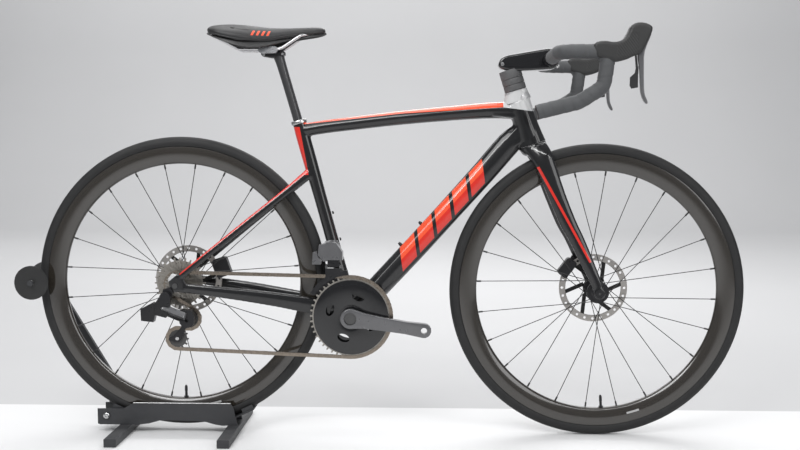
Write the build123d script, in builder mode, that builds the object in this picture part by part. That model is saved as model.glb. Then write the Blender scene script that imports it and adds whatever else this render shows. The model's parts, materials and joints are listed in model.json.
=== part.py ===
from build123d import *
import math
import os

# Road bicycle with disc brakes, held upright by a rear-wheel display stand.
# +X points to the front of the bicycle, +Y to its left side, +Z up. Millimetres.
# The origin is on the floor, under the middle of the whole object.
# The drive side (chain, chainrings, derailleurs) is the right side, at negative Y.

# ---------------------------------------------------------------- driving dimensions

WHEELBASE = 964.0
TYRE_RADIUS = 339.0
TYRE_WIDTH = 28.0
REAR_LIFT = 16.0                      # the stand holds the rear tyre this far off the floor
FRONT_X = 504.0
FRONT_AXLE = (FRONT_X, TYRE_RADIUS)
REAR_AXLE = (FRONT_X - WHEELBASE, TYRE_RADIUS + REAR_LIFT)
BOTTOM_BRACKET = (-61.0, 280.5)
HEAD_TOP = (322.5, 775.0)             # steering axis at the top of the head tube
HEAD_BOTTOM = (353.0, 676.4)          # steering axis at the bottom of the head tube
SEAT_TUBE_BOTTOM = (-65.0, 300.0)
SEAT_TUBE_TOP = (-182.0, 724.0)
POST_TOP = (-228.5, 884.0)
BAR_CENTRE = (391.0, 868.0)           # middle of the handlebar in its stem clamp
BAR_HALF_WIDTH = 205.0                # to the middle of each drop

RIM_RADIUS = 315.0
RIM_INNER_RADIUS = 276.0
RIM_WIDTH = 27.0
SPOKES = 24
SPOKE_RADIUS = 0.9
FLANGE_HOLE_RADIUS = 22.0
ROTOR_RADIUS = 80.0
ROTOR_THICKNESS = 1.8
AXLE_RADIUS = 6.0
RUNNING_CLEARANCE = 0.05

PITCH = 12.7                          # roller chain, half-inch pitch
ROLLER_RADIUS = 3.8
OUTER_RING_TEETH = 46
INNER_RING_TEETH = 33
CASSETTE_TEETH = [10, 11, 12, 13, 14, 15, 16, 17, 19, 21, 24, 28]
CHAIN_COG = 4                         # index of the cog that carries the chain
PULLEY_TEETH = 12
CHAIN_LINKS = 110
OUTER_RING_Y = -46.5
OUTER_RING_HALF = 0.65                # half the thickness of the outer chainring
INNER_RING_Y = -39.0
FIRST_COG_Y = -66.5
COG_SPACING = 3.55
GUIDE_PULLEY = (-433.5, 276.0)
CAGE_LENGTH = 54.0
CAGE_ANGLE = -121.53                  # of the tension pulley about the guide pulley, degrees

CRANK_LENGTH = 170.0
CRANK_ANGLE = -8.9                    # right crank arm, degrees above the forward direction
SPINDLE_RADIUS = 14.5
PEDAL_HOLE_RADIUS = 7.14              # 9/16 inch pedal thread

STAND_FOOT_LENGTH = 296.0
STAND_FOOT_WIDTH = 28.0
STAND_FOOT_HEIGHT = 19.0
STAND_HALF_GAP = 28.0                 # from the wheel plane to the inside of a side plate
STAND_PLATE = 2.0
ROLLER_AXLE = (-804.5, 356.0)
ARM_PIVOT = (-639.0, 41.0)

COG_Y = FIRST_COG_Y + CHAIN_COG * COG_SPACING
TENSION_PULLEY = (
    GUIDE_PULLEY[0] + CAGE_LENGTH * math.cos(math.radians(CAGE_ANGLE)),
    GUIDE_PULLEY[1] + CAGE_LENGTH * math.sin(math.radians(CAGE_ANGLE)),
)
HEAD_ANGLE = math.degrees(math.atan2(HEAD_TOP[1] - HEAD_BOTTOM[1], HEAD_TOP[0] - HEAD_BOTTOM[0]))
LEFT = 1
RIGHT = -1
SIDES = (LEFT, RIGHT)

os.makedirs("parts", exist_ok=True)


# ---------------------------------------------------------------- shared helpers

def side_plane(y):
    """Upright plane at this y. Sketch x is +X, sketch y is +Z, and a positive extrude goes to -Y."""
    return Plane.XZ.offset(-y)


def axle_plane(centre):
    """Plane through a wheel axle for profiles turned about it: sketch x is the radius, sketch y is +Y."""
    return Plane(origin=(centre[0], 0, centre[1]), x_dir=(1, 0, 0), z_dir=(0, 0, 1))


def axle_axis(centre):
    return Axis((centre[0], 0, centre[1]), (0, 1, 0))


def cross_plane(point, direction, y=0.0):
    """Plane square to a tube: sketch x is across the bicycle, sketch y is the tube's depth."""
    normal = (direction[0], 0, direction[1])
    return Plane(origin=(point[0], y, point[1]), x_dir=(0, 1, 0), z_dir=normal)


def along(start, end, distance):
    """Point at a distance from start towards end, and the unit direction."""
    dx = end[0] - start[0]
    dz = end[1] - start[1]
    length = math.hypot(dx, dz)
    unit = (dx / length, dz / length)
    return (start[0] + unit[0] * distance, start[1] + unit[1] * distance), unit


def pitch_radius(teeth):
    return PITCH / 2 / math.sin(math.pi / teeth)


def lofted_tube(stations):
    """Solid bar through elliptical stations (point, direction, y, width, depth)."""
    with BuildPart() as tube:
        for point, direction, y, width, depth in stations:
            with BuildSketch(cross_plane(point, direction, y)):
                Ellipse(width / 2, depth / 2)
        loft()
    return tube


def disc(centre, radius, y_from, y_to, bore=0.0):
    """Round disc or ring with its axis across the bicycle."""
    with BuildPart() as ring:
        with BuildSketch(side_plane(y_to)):
            with Locations(centre):
                Circle(radius)
                if bore:
                    Circle(bore, mode=Mode.SUBTRACT)
        extrude(amount=y_to - y_from)
    return ring


def plate(points, y_from, y_to, holes=()):
    """Flat plate with a straight-sided outline in the side view and round holes (centre, radius)."""
    with BuildPart() as flat:
        with BuildSketch(side_plane(y_to)):
            Polygon(*points, align=None)
            for centre, radius in holes:
                with Locations(centre):
                    Circle(radius, mode=Mode.SUBTRACT)
        extrude(amount=y_to - y_from)
    return flat


def rod(start, end, radius):
    """Round rod between two points."""
    direction = Vector(*end) - Vector(*start)
    with BuildPart() as bar:
        with BuildSketch(Plane(origin=start, z_dir=direction)):
            Circle(radius)
        extrude(amount=direction.length)
    return bar


def sprocket(teeth, centre, y, thickness, phase, bore, tooth_height=7.0):
    """Toothed ring in the plane y; phase is the angle of one tooth in degrees."""
    root = pitch_radius(teeth) - ROLLER_RADIUS - 0.1
    with BuildPart() as ring:
        with BuildSketch(side_plane(y + thickness / 2)):
            with Locations(centre):
                Circle(root)
                with PolarLocations(root, teeth, start_angle=phase):
                    Polygon(
                        (-1.0, -2.1), (3.8, -2.0), (tooth_height, -1.1), (tooth_height, 1.1), (3.8, 2.0), (-1.0, 2.1),
                        align=None,
                    )
                Circle(bore, mode=Mode.SUBTRACT)
        extrude(amount=thickness)
    return ring


def group(label, pieces):
    """Several separate solids that share one node."""
    solids = []
    for piece in pieces:
        solids.extend(piece.part.solids())
    node = Compound(children=solids)
    node.label = label
    export_step(node, f"parts/{label}.step")


def finish(part, label):
    """Names a piece and writes it."""
    part.part.label = label
    export_step(part.part, f"parts/{label}.step")


# ---------------------------------------------------------------- frame tubes

head_direction = along(HEAD_BOTTOM, HEAD_TOP, 0)[1]
head_tube_length = math.dist(HEAD_BOTTOM, HEAD_TOP)
head_shell = lofted_tube([
    (HEAD_BOTTOM, head_direction, 0, 58, 66),
    (along(HEAD_BOTTOM, HEAD_TOP, 30)[0], head_direction, 0, 50, 58),
    (HEAD_TOP, head_direction, 0, 46, 52),
])
bottom_bracket_shell = disc(BOTTOM_BRACKET, 27.0, -43.0, 43.0)

seat_tube_direction = along(SEAT_TUBE_BOTTOM, SEAT_TUBE_TOP, 0)[1]
seat_tube_solid = lofted_tube([
    ((-59.0, 278.0), seat_tube_direction, 0, 44, 36),
    (along(SEAT_TUBE_BOTTOM, SEAT_TUBE_TOP, 60)[0], seat_tube_direction, 0, 34, 32),
    (along(SEAT_TUBE_BOTTOM, SEAT_TUBE_TOP, 250)[0], seat_tube_direction, 0, 31, 30),
    (SEAT_TUBE_TOP, seat_tube_direction, 0, 32, 34),
])
TOP_TUBE = [
    ((-170.0, 709.0), (0.98, 0.2), 0, 34, 30),
    ((-60.0, 726.0), (0.99, 0.13), 0, 36, 30),
    ((120.0, 746.0), (0.99, 0.11), 0, 40, 33),
    ((316.0, 749.0), (0.99, 0.08), 0, 42, 33),
]
DOWN_TUBE = [
    ((-55.0, 286.0), (0.68, 0.73), 0, 62, 52),
    ((10.0, 356.0), (0.68, 0.73), 0, 52, 53),
    ((168.0, 528.0), (0.68, 0.73), 0, 46, 53),
    ((318.0, 699.0), (0.68, 0.73), 0, 44, 54),
]
# The wall thickens towards the head tube, where the fork crown needs a recess.
DOWN_TUBE_INSIDE = DOWN_TUBE[:3] + [((318.0, 699.0), (0.68, 0.73), 0, 26, 30)]
TUBE_WALL = 2.0
STAY_WALL = 1.6


def hollow(stations, wall):
    """The empty inside of a tube."""
    return lofted_tube([
        (point, direction, y, width - 2 * wall, depth - 2 * wall) for point, direction, y, width, depth in stations
    ])


def mirrored(stations, side):
    return [(point, direction, side * y, width, depth) for point, direction, y, width, depth in stations]


def stay(stations, side):
    return lofted_tube(mirrored(stations, side))


top_tube_solid = lofted_tube(TOP_TUBE)
down_tube_solid = lofted_tube(DOWN_TUBE)


CHAINSTAY = [
    ((-432.0, 349.0), (0.98, -0.2), 72.0, 13, 26),
    ((-370.0, 341.0), (0.98, -0.2), 67.0, 14, 27),
    ((-300.0, 331.0), (0.98, -0.2), 56.0, 15, 31),
    ((-230.0, 319.0), (0.98, -0.2), 42.0, 15, 36),
    ((-158.0, 305.0), (0.98, -0.2), 31.0, 13, 41),
    ((-125.0, 299.0), (0.98, -0.2), 28.0, 12, 42),
    ((-72.0, 289.0), (0.98, -0.2), 26.0, 14, 40),
]
SEATSTAY = [
    ((-162.0, 611.0), (0.76, 0.65), 11.0, 13, 25),
    ((-205.0, 572.0), (0.76, 0.65), 25.0, 11, 19),
    ((-300.0, 496.0), (0.76, 0.65), 48.0, 10, 17),
    ((-385.0, 427.0), (0.76, 0.65), 67.0, 10, 16),
    ((-446.0, 377.0), (0.76, 0.65), 74.0, 9, 15),
]

# The open triangle needs its tubes as separate pieces, so each later tube is cut back to the ones before it.
steerer_bore_radius = 20.6


def on_steering_axis(distance_from, distance_to, radius):
    """Round bar on the steering axis, by distance from the bottom of the head tube."""
    low = along(HEAD_BOTTOM, HEAD_TOP, distance_from)[0]
    high = along(HEAD_BOTTOM, HEAD_TOP, distance_to)[0]
    return rod((low[0], 0, low[1]), (high[0], 0, high[1]), radius)


steerer_bore = on_steering_axis(-20, head_tube_length + 20, steerer_bore_radius)

with BuildPart() as head_tube:
    add(head_shell.part)
    add(steerer_bore.part, mode=Mode.SUBTRACT)

with BuildPart() as seat_tube:
    add(seat_tube_solid.part)
    add(bottom_bracket_shell.part, mode=Mode.SUBTRACT)
    post_bore_low = along(SEAT_TUBE_BOTTOM, SEAT_TUBE_TOP, 60)[0]
    with BuildSketch(cross_plane(post_bore_low, seat_tube_direction)):
        Ellipse(13.5, 11.0)
    extrude(amount=400, mode=Mode.SUBTRACT)

# Silver cone between the top of the head tube and the spacers.
cone_high = along(HEAD_BOTTOM, HEAD_TOP, head_tube_length + 24)[0]
with BuildPart() as cone:
    with BuildSketch(cross_plane((HEAD_TOP[0] - 5.5, HEAD_TOP[1] - 1.7), head_direction)):
        Ellipse(24, 32)
    with BuildSketch(cross_plane(cone_high, head_direction)):
        Ellipse(21, 26)
    loft()
with BuildPart() as headset_cover:
    add(cone.part)
    add(head_shell.part, mode=Mode.SUBTRACT)
    add(top_tube_solid.part, mode=Mode.SUBTRACT)
    add(on_steering_axis(-30, 200, 15.2).part, mode=Mode.SUBTRACT)

with BuildPart() as top_tube:
    add(top_tube_solid.part)
    add(hollow(TOP_TUBE, TUBE_WALL).part, mode=Mode.SUBTRACT)
    add(head_shell.part, mode=Mode.SUBTRACT)
    add(seat_tube_solid.part, mode=Mode.SUBTRACT)
finish(top_tube, "top_tube")

with BuildPart() as down_tube:
    add(down_tube_solid.part)
    add(hollow(DOWN_TUBE_INSIDE, TUBE_WALL).part, mode=Mode.SUBTRACT)
    add(on_steering_axis(-70, -0.3, 44.0).part, mode=Mode.SUBTRACT)
    add(head_shell.part, mode=Mode.SUBTRACT)
    add(top_tube_solid.part, mode=Mode.SUBTRACT)
    add(bottom_bracket_shell.part, mode=Mode.SUBTRACT)
    add(seat_tube_solid.part, mode=Mode.SUBTRACT)

with BuildPart() as bb_shell:
    add(bottom_bracket_shell.part)
    with BuildSketch(side_plane(60)):
        with Locations(BOTTOM_BRACKET):
            Circle(20.5)
    extrude(amount=120, mode=Mode.SUBTRACT)

DROPOUT_OUTLINE = [(-478, 372), (-468, 384), (-444, 378), (-436, 362), (-430, 337), (-452, 340), (-470, 338)]
chainstays = []
seatstays = []
dropouts = []
for side in SIDES:
    inner = 71.0 if side == LEFT else -77.0
    dropout = plate(DROPOUT_OUTLINE, inner, inner + 6.0, [(REAR_AXLE, AXLE_RADIUS)])
    dropouts.append(dropout)
    with BuildPart() as chainstay:
        add(stay(CHAINSTAY, side).part)
        add(hollow(mirrored(CHAINSTAY, side), STAY_WALL).part, mode=Mode.SUBTRACT)
        for neighbour in (bottom_bracket_shell, dropout, down_tube_solid, seat_tube_solid):
            add(neighbour.part, mode=Mode.SUBTRACT)
    chainstays.append(chainstay)
    with BuildPart() as seatstay:
        add(stay(SEATSTAY, side).part)
        add(hollow(mirrored(SEATSTAY, side), STAY_WALL).part, mode=Mode.SUBTRACT)
        for neighbour in (seat_tube_solid, dropout):
            add(neighbour.part, mode=Mode.SUBTRACT)
        if side == RIGHT:
            # The two stays meet on the centre plane above the tyre.
            split(bisect_by=Plane.XZ, keep=Keep.TOP)
        else:
            split(bisect_by=Plane.XZ, keep=Keep.BOTTOM)
    seatstays.append(seatstay)
group("chainstays", chainstays + dropouts)
group("seatstays", seatstays)

bottle_bolts = []
for x, z in ((46.0, 449.0), (93.0, 498.0)):
    bottle_bolts.append(rod((x - 7, 0, z + 7), (x - 2, 0, z + 2), 4.0))
for distance in (158.0, 222.0):
    (x, z), unit = along(SEAT_TUBE_BOTTOM, SEAT_TUBE_TOP, distance)
    bottle_bolts.append(rod((x + 15.5, 0, z + 4), (x + 20.0, 0, z + 5.2), 4.0))
trimmed_bolts = []
for bolt in bottle_bolts:
    with BuildPart() as trimmed:
        add(bolt.part)
        add(down_tube_solid.part, mode=Mode.SUBTRACT)
        add(seat_tube_solid.part, mode=Mode.SUBTRACT)
    trimmed_bolts.append(trimmed)
group("down_tube", [down_tube] + trimmed_bolts)

headset_bearings = []
for low, high in ((1.0, 9.0), (head_tube_length - 9.0, head_tube_length - 1.0)):
    with BuildPart() as bearing:
        add(on_steering_axis(low, high, steerer_bore_radius).part)
        add(on_steering_axis(low - 5, high + 5, 14.3 + RUNNING_CLEARANCE).part, mode=Mode.SUBTRACT)
    headset_bearings.append(bearing)

group("head_tube", [head_tube, headset_cover] + headset_bearings)

bb_bearings = [
    disc(BOTTOM_BRACKET, 20.5, side * 38.5 - 3.5, side * 38.5 + 3.5, SPINDLE_RADIUS + RUNNING_CLEARANCE)
    for side in SIDES
]
group("bottom_bracket_shell", [bb_shell] + bb_bearings)

# ---------------------------------------------------------------- seatpost and saddle

post_bottom, post_direction = along((-184.5, 727.0), POST_TOP, -160)
with BuildPart() as seatpost:
    with BuildSketch(cross_plane(post_bottom, post_direction)):
        Ellipse(13.4, 10.9)
    with BuildSketch(cross_plane(along((-184.5, 727.0), POST_TOP, 0)[0], post_direction)):
        Ellipse(13.4, 10.9)
    with BuildSketch(cross_plane(along((-184.5, 727.0), POST_TOP, 156)[0], post_direction)):
        Ellipse(12.5, 11.5)
    loft()
    with BuildSketch(side_plane(13)):
        with Locations((-241.0, 884.0)):
            SlotOverall(58, 17, rotation=3)
    extrude(amount=26)

with BuildPart() as seat_tube_clear:
    add(seat_tube.part)
    add(seatpost.part, mode=Mode.SUBTRACT)
finish(seat_tube_clear, "seat_tube")

RAIL_RADIUS = 3.5
RAIL_HALF_GAP = 22.0
rails = []
for side in SIDES:
    rail_points = [
        (-376.0, side * 46, 924.0),
        (-318.0, side * RAIL_HALF_GAP, 893.0),
        (-222.0, side * RAIL_HALF_GAP, 893.0),
        (-175.0, side * 20, 924.0),
        (-140.0, side * 8, 930.0),
    ]
    with BuildPart() as rail:
        with BuildLine() as rail_path:
            FilletPolyline(*rail_points, radius=[16, 24, 14])
        with BuildSketch(Plane(origin=rail_path.line @ 0, z_dir=rail_path.line % 0)):
            Circle(RAIL_RADIUS)
        sweep()
    rails.append(rail)

# Cradles that clamp the rails on both ends of the post head, with the bolt through them.
rail_cradles = []
for side in SIDES:
    low, high = sorted((side * 13.0, side * 28.0))
    with BuildPart() as cradle:
        with BuildSketch(side_plane(high)):
            with Locations((-250.0, 891.0)):
                SlotOverall(44, 16)
        extrude(amount=high - low)
        for rail in rails:
            add(rail.part, mode=Mode.SUBTRACT)
    rail_cradles.append(cradle)
group("saddle_rails", rails + rail_cradles)
finish(seatpost, "seatpost")

SADDLE_SECTIONS = [
    # x, half width, lowest z, highest z
    (-391.0, 36.0, 926.0, 942.0),
    (-374.0, 60.0, 912.0, 947.0),
    (-335.0, 70.0, 886.0, 950.0),
    (-290.0, 63.0, 874.0, 946.0),
    (-240.0, 41.0, 890.0, 942.0),
    (-170.0, 24.0, 914.0, 943.0),
    (-130.0, 18.0, 922.0, 943.5),
    (-119.0, 12.0, 927.0, 940.0),
]


def saddle_loft(side_wall, top_wall, drop):
    """Saddle body, drawn in from its sides and top by the wall and let down below by the drop."""
    with BuildPart() as body:
        for x, half_width, low, high in SADDLE_SECTIONS:
            top = high - top_wall
            bottom = low - drop
            with BuildSketch(Plane(origin=(x, 0, (top + bottom) / 2), x_dir=(0, 1, 0), z_dir=(1, 0, 0))):
                Ellipse(half_width - side_wall, (top - bottom) / 2)
        loft()
    return body


saddle_body = saddle_loft(0.0, 0.0, 0.0)
under_pad = saddle_loft(6.0, 9.0, 30.0)
under_base = saddle_loft(8.0, 11.5, 30.0)
with BuildPart() as saddle_pad:
    add(saddle_body.part)
    add(under_pad.part, mode=Mode.SUBTRACT)
    for rail in rails:
        add(rail.part, mode=Mode.SUBTRACT)
with BuildPart() as saddle_base:
    add(saddle_body.part)
    add(under_pad.part, mode=Mode.INTERSECT)
    add(under_base.part, mode=Mode.SUBTRACT)
    for rail in rails:
        add(rail.part, mode=Mode.SUBTRACT)
finish(saddle_pad, "saddle_pad")
finish(saddle_base, "saddle_base")

# ---------------------------------------------------------------- fork, stem, handlebar

CROWN_DEPTH = 21.0
FORK_BLADE = [
    ((386.0, 640.0), (0.38, -0.925), 33.0, 24, 44),
    ((404.0, 572.0), (0.38, -0.925), 40.0, 20, 40),
    ((433.0, 497.0), (0.38, -0.925), 46.0, 18, 37),
    ((470.0, 414.0), (0.42, -0.907), 53.0, 16, 31),
    ((498.0, 351.0), (0.42, -0.907), 56.5, 13, 24),
]
tyre_space = disc(FRONT_AXLE, TYRE_RADIUS + 5.0, -18.5, 18.5)
with BuildPart() as fork:
    add(on_steering_axis(-CROWN_DEPTH, -0.6, 31.0).part)
    for side in SIDES:
        with BuildSketch(cross_plane(along(HEAD_BOTTOM, HEAD_TOP, -1.5)[0], head_direction)):
            with Locations((side * 18, -9)):
                RectangleRounded(44, 34, 12)
        extrude(amount=-36)
        add(stay(FORK_BLADE, side).part)
        add(hollow(mirrored(FORK_BLADE, side), TUBE_WALL).part, mode=Mode.SUBTRACT)
    add(tyre_space.part, mode=Mode.SUBTRACT)
    for side in SIDES:
        with BuildSketch(side_plane(side * 57.0 + 6.5)):
            with Locations(FRONT_AXLE):
                Circle(13.5)
        extrude(amount=13)
    with BuildSketch(side_plane(80)):
        with Locations(FRONT_AXLE):
            Circle(AXLE_RADIUS)
    extrude(amount=160, mode=Mode.SUBTRACT)
    with BuildSketch(side_plane(50.4)):
        with Locations(FRONT_AXLE):
            Circle(30)
    extrude(amount=100.8, mode=Mode.SUBTRACT)
    add(on_steering_axis(-0.6, 40, 40).part, mode=Mode.SUBTRACT)

STEM_TOP_DISTANCE = head_tube_length + 112.0
steerer = on_steering_axis(-0.6, STEM_TOP_DISTANCE, 14.3)
with BuildPart() as steerer_tube:
    add(steerer.part)
    add(on_steering_axis(-5, STEM_TOP_DISTANCE - 8, 11.8).part, mode=Mode.SUBTRACT)
group("fork", [fork, steerer_tube])

spacers = []
SPACER_LOW = head_tube_length + 24.3
SPACER_HEIGHTS = [14.0, 14.0, 21.0]
level = SPACER_LOW
for height in SPACER_HEIGHTS:
    base = along(HEAD_BOTTOM, HEAD_TOP, level)[0]
    with BuildPart() as spacer:
        with BuildSketch(cross_plane(base, head_direction)):
            RectangleRounded(40, 51, 16)
        extrude(amount=height)
        add(on_steering_axis(level - 5, level + height + 5, 14.3).part, mode=Mode.SUBTRACT)
    spacers.append(spacer)
    level += height + 0.02
group("headset_spacers", spacers)

stem_base = along(HEAD_BOTTOM, HEAD_TOP, level)[0]
CLAMP_RADIUS = 15.9
STEM_OUTLINE = [
    (272.0, 849.0), (276.0, 866.0), (290.0, 879.0), (384.0, 894.0), (404.0, 892.0),
    (412.0, 878.0), (413.0, 862.0), (404.0, 846.0), (384.0, 845.0), (335.0, 842.0), (300.0, 838.0),
]
with BuildPart() as stem_block:
    with BuildSketch(side_plane(22)):
        Polygon(*STEM_OUTLINE, align=None)
    extrude(amount=44)
    with BuildSketch(cross_plane(stem_base, head_direction)):
        Rectangle(80, 160)
    extrude(amount=-80, mode=Mode.SUBTRACT)
    add(on_steering_axis(0, STEM_TOP_DISTANCE - 3, 14.3).part, mode=Mode.SUBTRACT)
    with BuildSketch(side_plane(40)):
        with Locations(BAR_CENTRE):
            Circle(CLAMP_RADIUS)
    extrude(amount=80, mode=Mode.SUBTRACT)
with BuildPart() as stem:
    add(stem_block.part)
    add(on_steering_axis(STEM_TOP_DISTANCE - 3, STEM_TOP_DISTANCE, 14.3).part, mode=Mode.SUBTRACT)
    with BuildSketch(side_plane(40)):
        with Locations((BAR_CENTRE[0] + 25.3, BAR_CENTRE[1])):
            Rectangle(50, 90)
    extrude(amount=80, mode=Mode.SUBTRACT)
with BuildPart() as faceplate:
    add(stem_block.part)
    with BuildSketch(side_plane(40)):
        with Locations((BAR_CENTRE[0] - 99.2, BAR_CENTRE[1])):
            Rectangle(200, 200)
    extrude(amount=80, mode=Mode.SUBTRACT)
stem_bolts = [disc((283.0, 857.0), 4.0, -24.5, -22.0)]
for z in (851.0, 888.0):
    for y in (-15.0, 15.0):
        stem_bolts.append(rod((412.2, y, z), (414.6, y, z), 2.6))
cut_bolts = []
for bolt in stem_bolts:
    with BuildPart() as cut_bolt:
        add(bolt.part)
        add(stem_block.part, mode=Mode.SUBTRACT)
    cut_bolts.append(cut_bolt)
group("stem", [stem, faceplate] + cut_bolts)

BAR_RADIUS = 12.0
BAR_BORE = 9.8
TAPE_RADIUS = 16.2
TAPE_START = 62.0
TAPE_SLACK = 0.3


def bar_points(side, start_y):
    x, z = BAR_CENTRE
    y = side * BAR_HALF_WIDTH
    return [
        (x, side * start_y, z),
        (x, y - side * 2, z + 1),
        (x + 100.0, y, z),
        (x + 90.0, y, z - 72.0),
        (x + 40.0, y, z - 104.0),
        (x - 47.0, y, z - 125.0),
    ]


BAR_CORNERS = [42.0, 24.0, 28.0, 60.0]


def bar_sweep(side, start_y, radius, bore):
    with BuildPart() as tube:
        with BuildLine() as path:
            FilletPolyline(*bar_points(side, start_y), radius=BAR_CORNERS)
        with BuildSketch(Plane(origin=path.line @ 0, z_dir=path.line % 0)):
            Circle(radius)
            if bore:
                Circle(bore, mode=Mode.SUBTRACT)
        sweep()
    return tube


bar_middle = disc(BAR_CENTRE, CLAMP_RADIUS, -40.0, 40.0, BAR_BORE)
bar_sides = [bar_sweep(side, 40.0, BAR_RADIUS, BAR_BORE) for side in SIDES]
group("handlebar", [bar_middle] + bar_sides)

tapes = []
tape_solids = []
for side in SIDES:
    tape_solids.append(bar_sweep(side, TAPE_START, TAPE_RADIUS, 0))
    tapes.append(bar_sweep(side, TAPE_START, TAPE_RADIUS, BAR_RADIUS + TAPE_SLACK))

bar_plugs = []
for side in SIDES:
    last = bar_points(side, 0)[-1]
    before = bar_points(side, 0)[-2]
    outward = (Vector(*last) - Vector(*before)).normalized()
    bar_plugs.append(rod(tuple(Vector(*last)), tuple(Vector(*last) + outward * 3.0), 15.0))
group("bar_tape", tapes + bar_plugs)

# Brake and shift controls. The hood is a shell around the lever pivot with a slot for the lever.
LEVER_PIVOT = (561.0, 897.0)
LEVER_PIN_RADIUS = 2.4
HOOD_HALF_WIDTH = 16.5
LEVER_HALF_WIDTH = 6.0
HOOD_OUTLINE = [
    (456.0, 886.0), (476.0, 891.5), (502.0, 886.0), (521.0, 893.0), (529.0, 908.0), (534.0, 924.0),
    (553.0, 928.0), (575.0, 922.0), (580.0, 915.0), (564.0, 877.0), (557.0, 861.0), (537.0, 856.0),
    (528.0, 851.0), (501.0, 843.0), (478.0, 850.0),
]
LEVER_OUTLINE = [
    (577.0, 908.0), (569.0, 909.0), (555.0, 901.0), (551.5, 884.0), (549.0, 862.0), (553.5, 834.0),
    (556.5, 782.0), (566.0, 759.5), (572.0, 759.0), (571.0, 768.0), (564.0, 783.0), (562.5, 834.0),
    (562.0, 862.0), (568.0, 882.0),
]
SLOT_OUTLINE = [
    (590.0, 914.0), (548.0, 911.0), (530.0, 880.0), (526.0, 840.0), (575.0, 830.0), (590.0, 880.0),
]
PADDLE_OUTLINE = [
    (544.5, 862.0), (548.0, 862.0), (551.5, 834.0), (552.0, 794.0), (538.5, 791.5), (535.0, 798.0),
    (535.5, 815.0), (545.0, 824.0), (547.0, 834.0),
]
PADDLE_HINGE_X = 550.5
PADDLE_BARREL = (822.0, 838.0)         # lower and upper end of its upright hinge barrel
hoods = []
lever_pins = []
for index, side in enumerate(SIDES):
    centre_y = side * BAR_HALF_WIDTH
    with BuildPart() as hood:
        with BuildSketch(side_plane(centre_y + HOOD_HALF_WIDTH)):
            Polygon(*HOOD_OUTLINE, align=None)
        extrude(amount=2 * HOOD_HALF_WIDTH)
        with BuildSketch(side_plane(centre_y + LEVER_HALF_WIDTH + 0.6)):
            Polygon(*SLOT_OUTLINE, align=None)
        extrude(amount=2 * (LEVER_HALF_WIDTH + 0.6), mode=Mode.SUBTRACT)
        with BuildSketch(side_plane(centre_y + 12)):
            with Locations(LEVER_PIVOT):
                Circle(LEVER_PIN_RADIUS)
        extrude(amount=24, mode=Mode.SUBTRACT)
        add(tape_solids[index].part, mode=Mode.SUBTRACT)
    hoods.append(hood)
    lever_pins.append(disc(LEVER_PIVOT, LEVER_PIN_RADIUS, centre_y - 12, centre_y + 12))
    name = "left" if side == LEFT else "right"
    lever = plate(
        LEVER_OUTLINE, centre_y - LEVER_HALF_WIDTH, centre_y + LEVER_HALF_WIDTH,
        [(LEVER_PIVOT, LEVER_PIN_RADIUS + RUNNING_CLEARANCE)],
    )
    finish(lever, f"brake_lever_{name}")
    with BuildPart() as paddle:
        with BuildSketch(side_plane(centre_y - side * 2.0 + 1.5)):
            Polygon(*PADDLE_OUTLINE, align=None)
        extrude(amount=3.0)
        with BuildSketch(Plane.XY.offset(PADDLE_BARREL[0])):
            with Locations((PADDLE_HINGE_X, centre_y - side * 2.0)):
                Circle(2.0)
        extrude(amount=PADDLE_BARREL[1] - PADDLE_BARREL[0])
    finish(paddle, f"shift_paddle_{name}")
group("lever_hoods", hoods + lever_pins)

# ---------------------------------------------------------------- wheels

TYRE_SECTION = TYRE_WIDTH / 2
TYRE_CENTRE_RADIUS = TYRE_RADIUS - TYRE_SECTION


def tyre(centre):
    with BuildPart() as part:
        with BuildSketch(axle_plane(centre)):
            with Locations((TYRE_CENTRE_RADIUS, 0)):
                Circle(TYRE_SECTION)
                Circle(TYRE_SECTION - 2.0, mode=Mode.SUBTRACT)
            with Locations((RIM_RADIUS - 25.0, 0)):
                Rectangle(50, 60, mode=Mode.SUBTRACT)
        revolve(axis=axle_axis(centre))
    return part


def rim(centre, valve_angle):
    half = RIM_WIDTH / 2
    outer = RIM_RADIUS
    inner = RIM_INNER_RADIUS
    with BuildPart() as part:
        with BuildSketch(axle_plane(centre)):
            Polygon(
                (inner, -4.5), (inner, 4.5), (inner + 4, 8.0), (inner + 14, 12.0), (inner + 26, half),
                (outer, half - 0.6), (outer, -half + 0.6), (inner + 26, -half), (inner + 14, -12.0), (inner + 4, -8.0),
                align=None,
            )
            Polygon(
                (inner + 2.5, -4.0), (inner + 2.5, 4.0), (inner + 15, 9.8), (inner + 26, half - 2.0),
                (outer - 4, half - 2.4), (outer - 4, -half + 2.4), (inner + 26, -half + 2.0), (inner + 15, -9.8),
                align=None, mode=Mode.SUBTRACT,
            )
        revolve(axis=axle_axis(centre))
        direction = (math.cos(math.radians(valve_angle)), math.sin(math.radians(valve_angle)))
        start = (centre[0] + direction[0] * (inner - 10), 0, centre[1] + direction[1] * (inner - 10))
        with BuildSketch(Plane(origin=start, z_dir=(direction[0], 0, direction[1]))):
            Circle(3.3)
        extrude(amount=60, mode=Mode.SUBTRACT)
    return part


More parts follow.
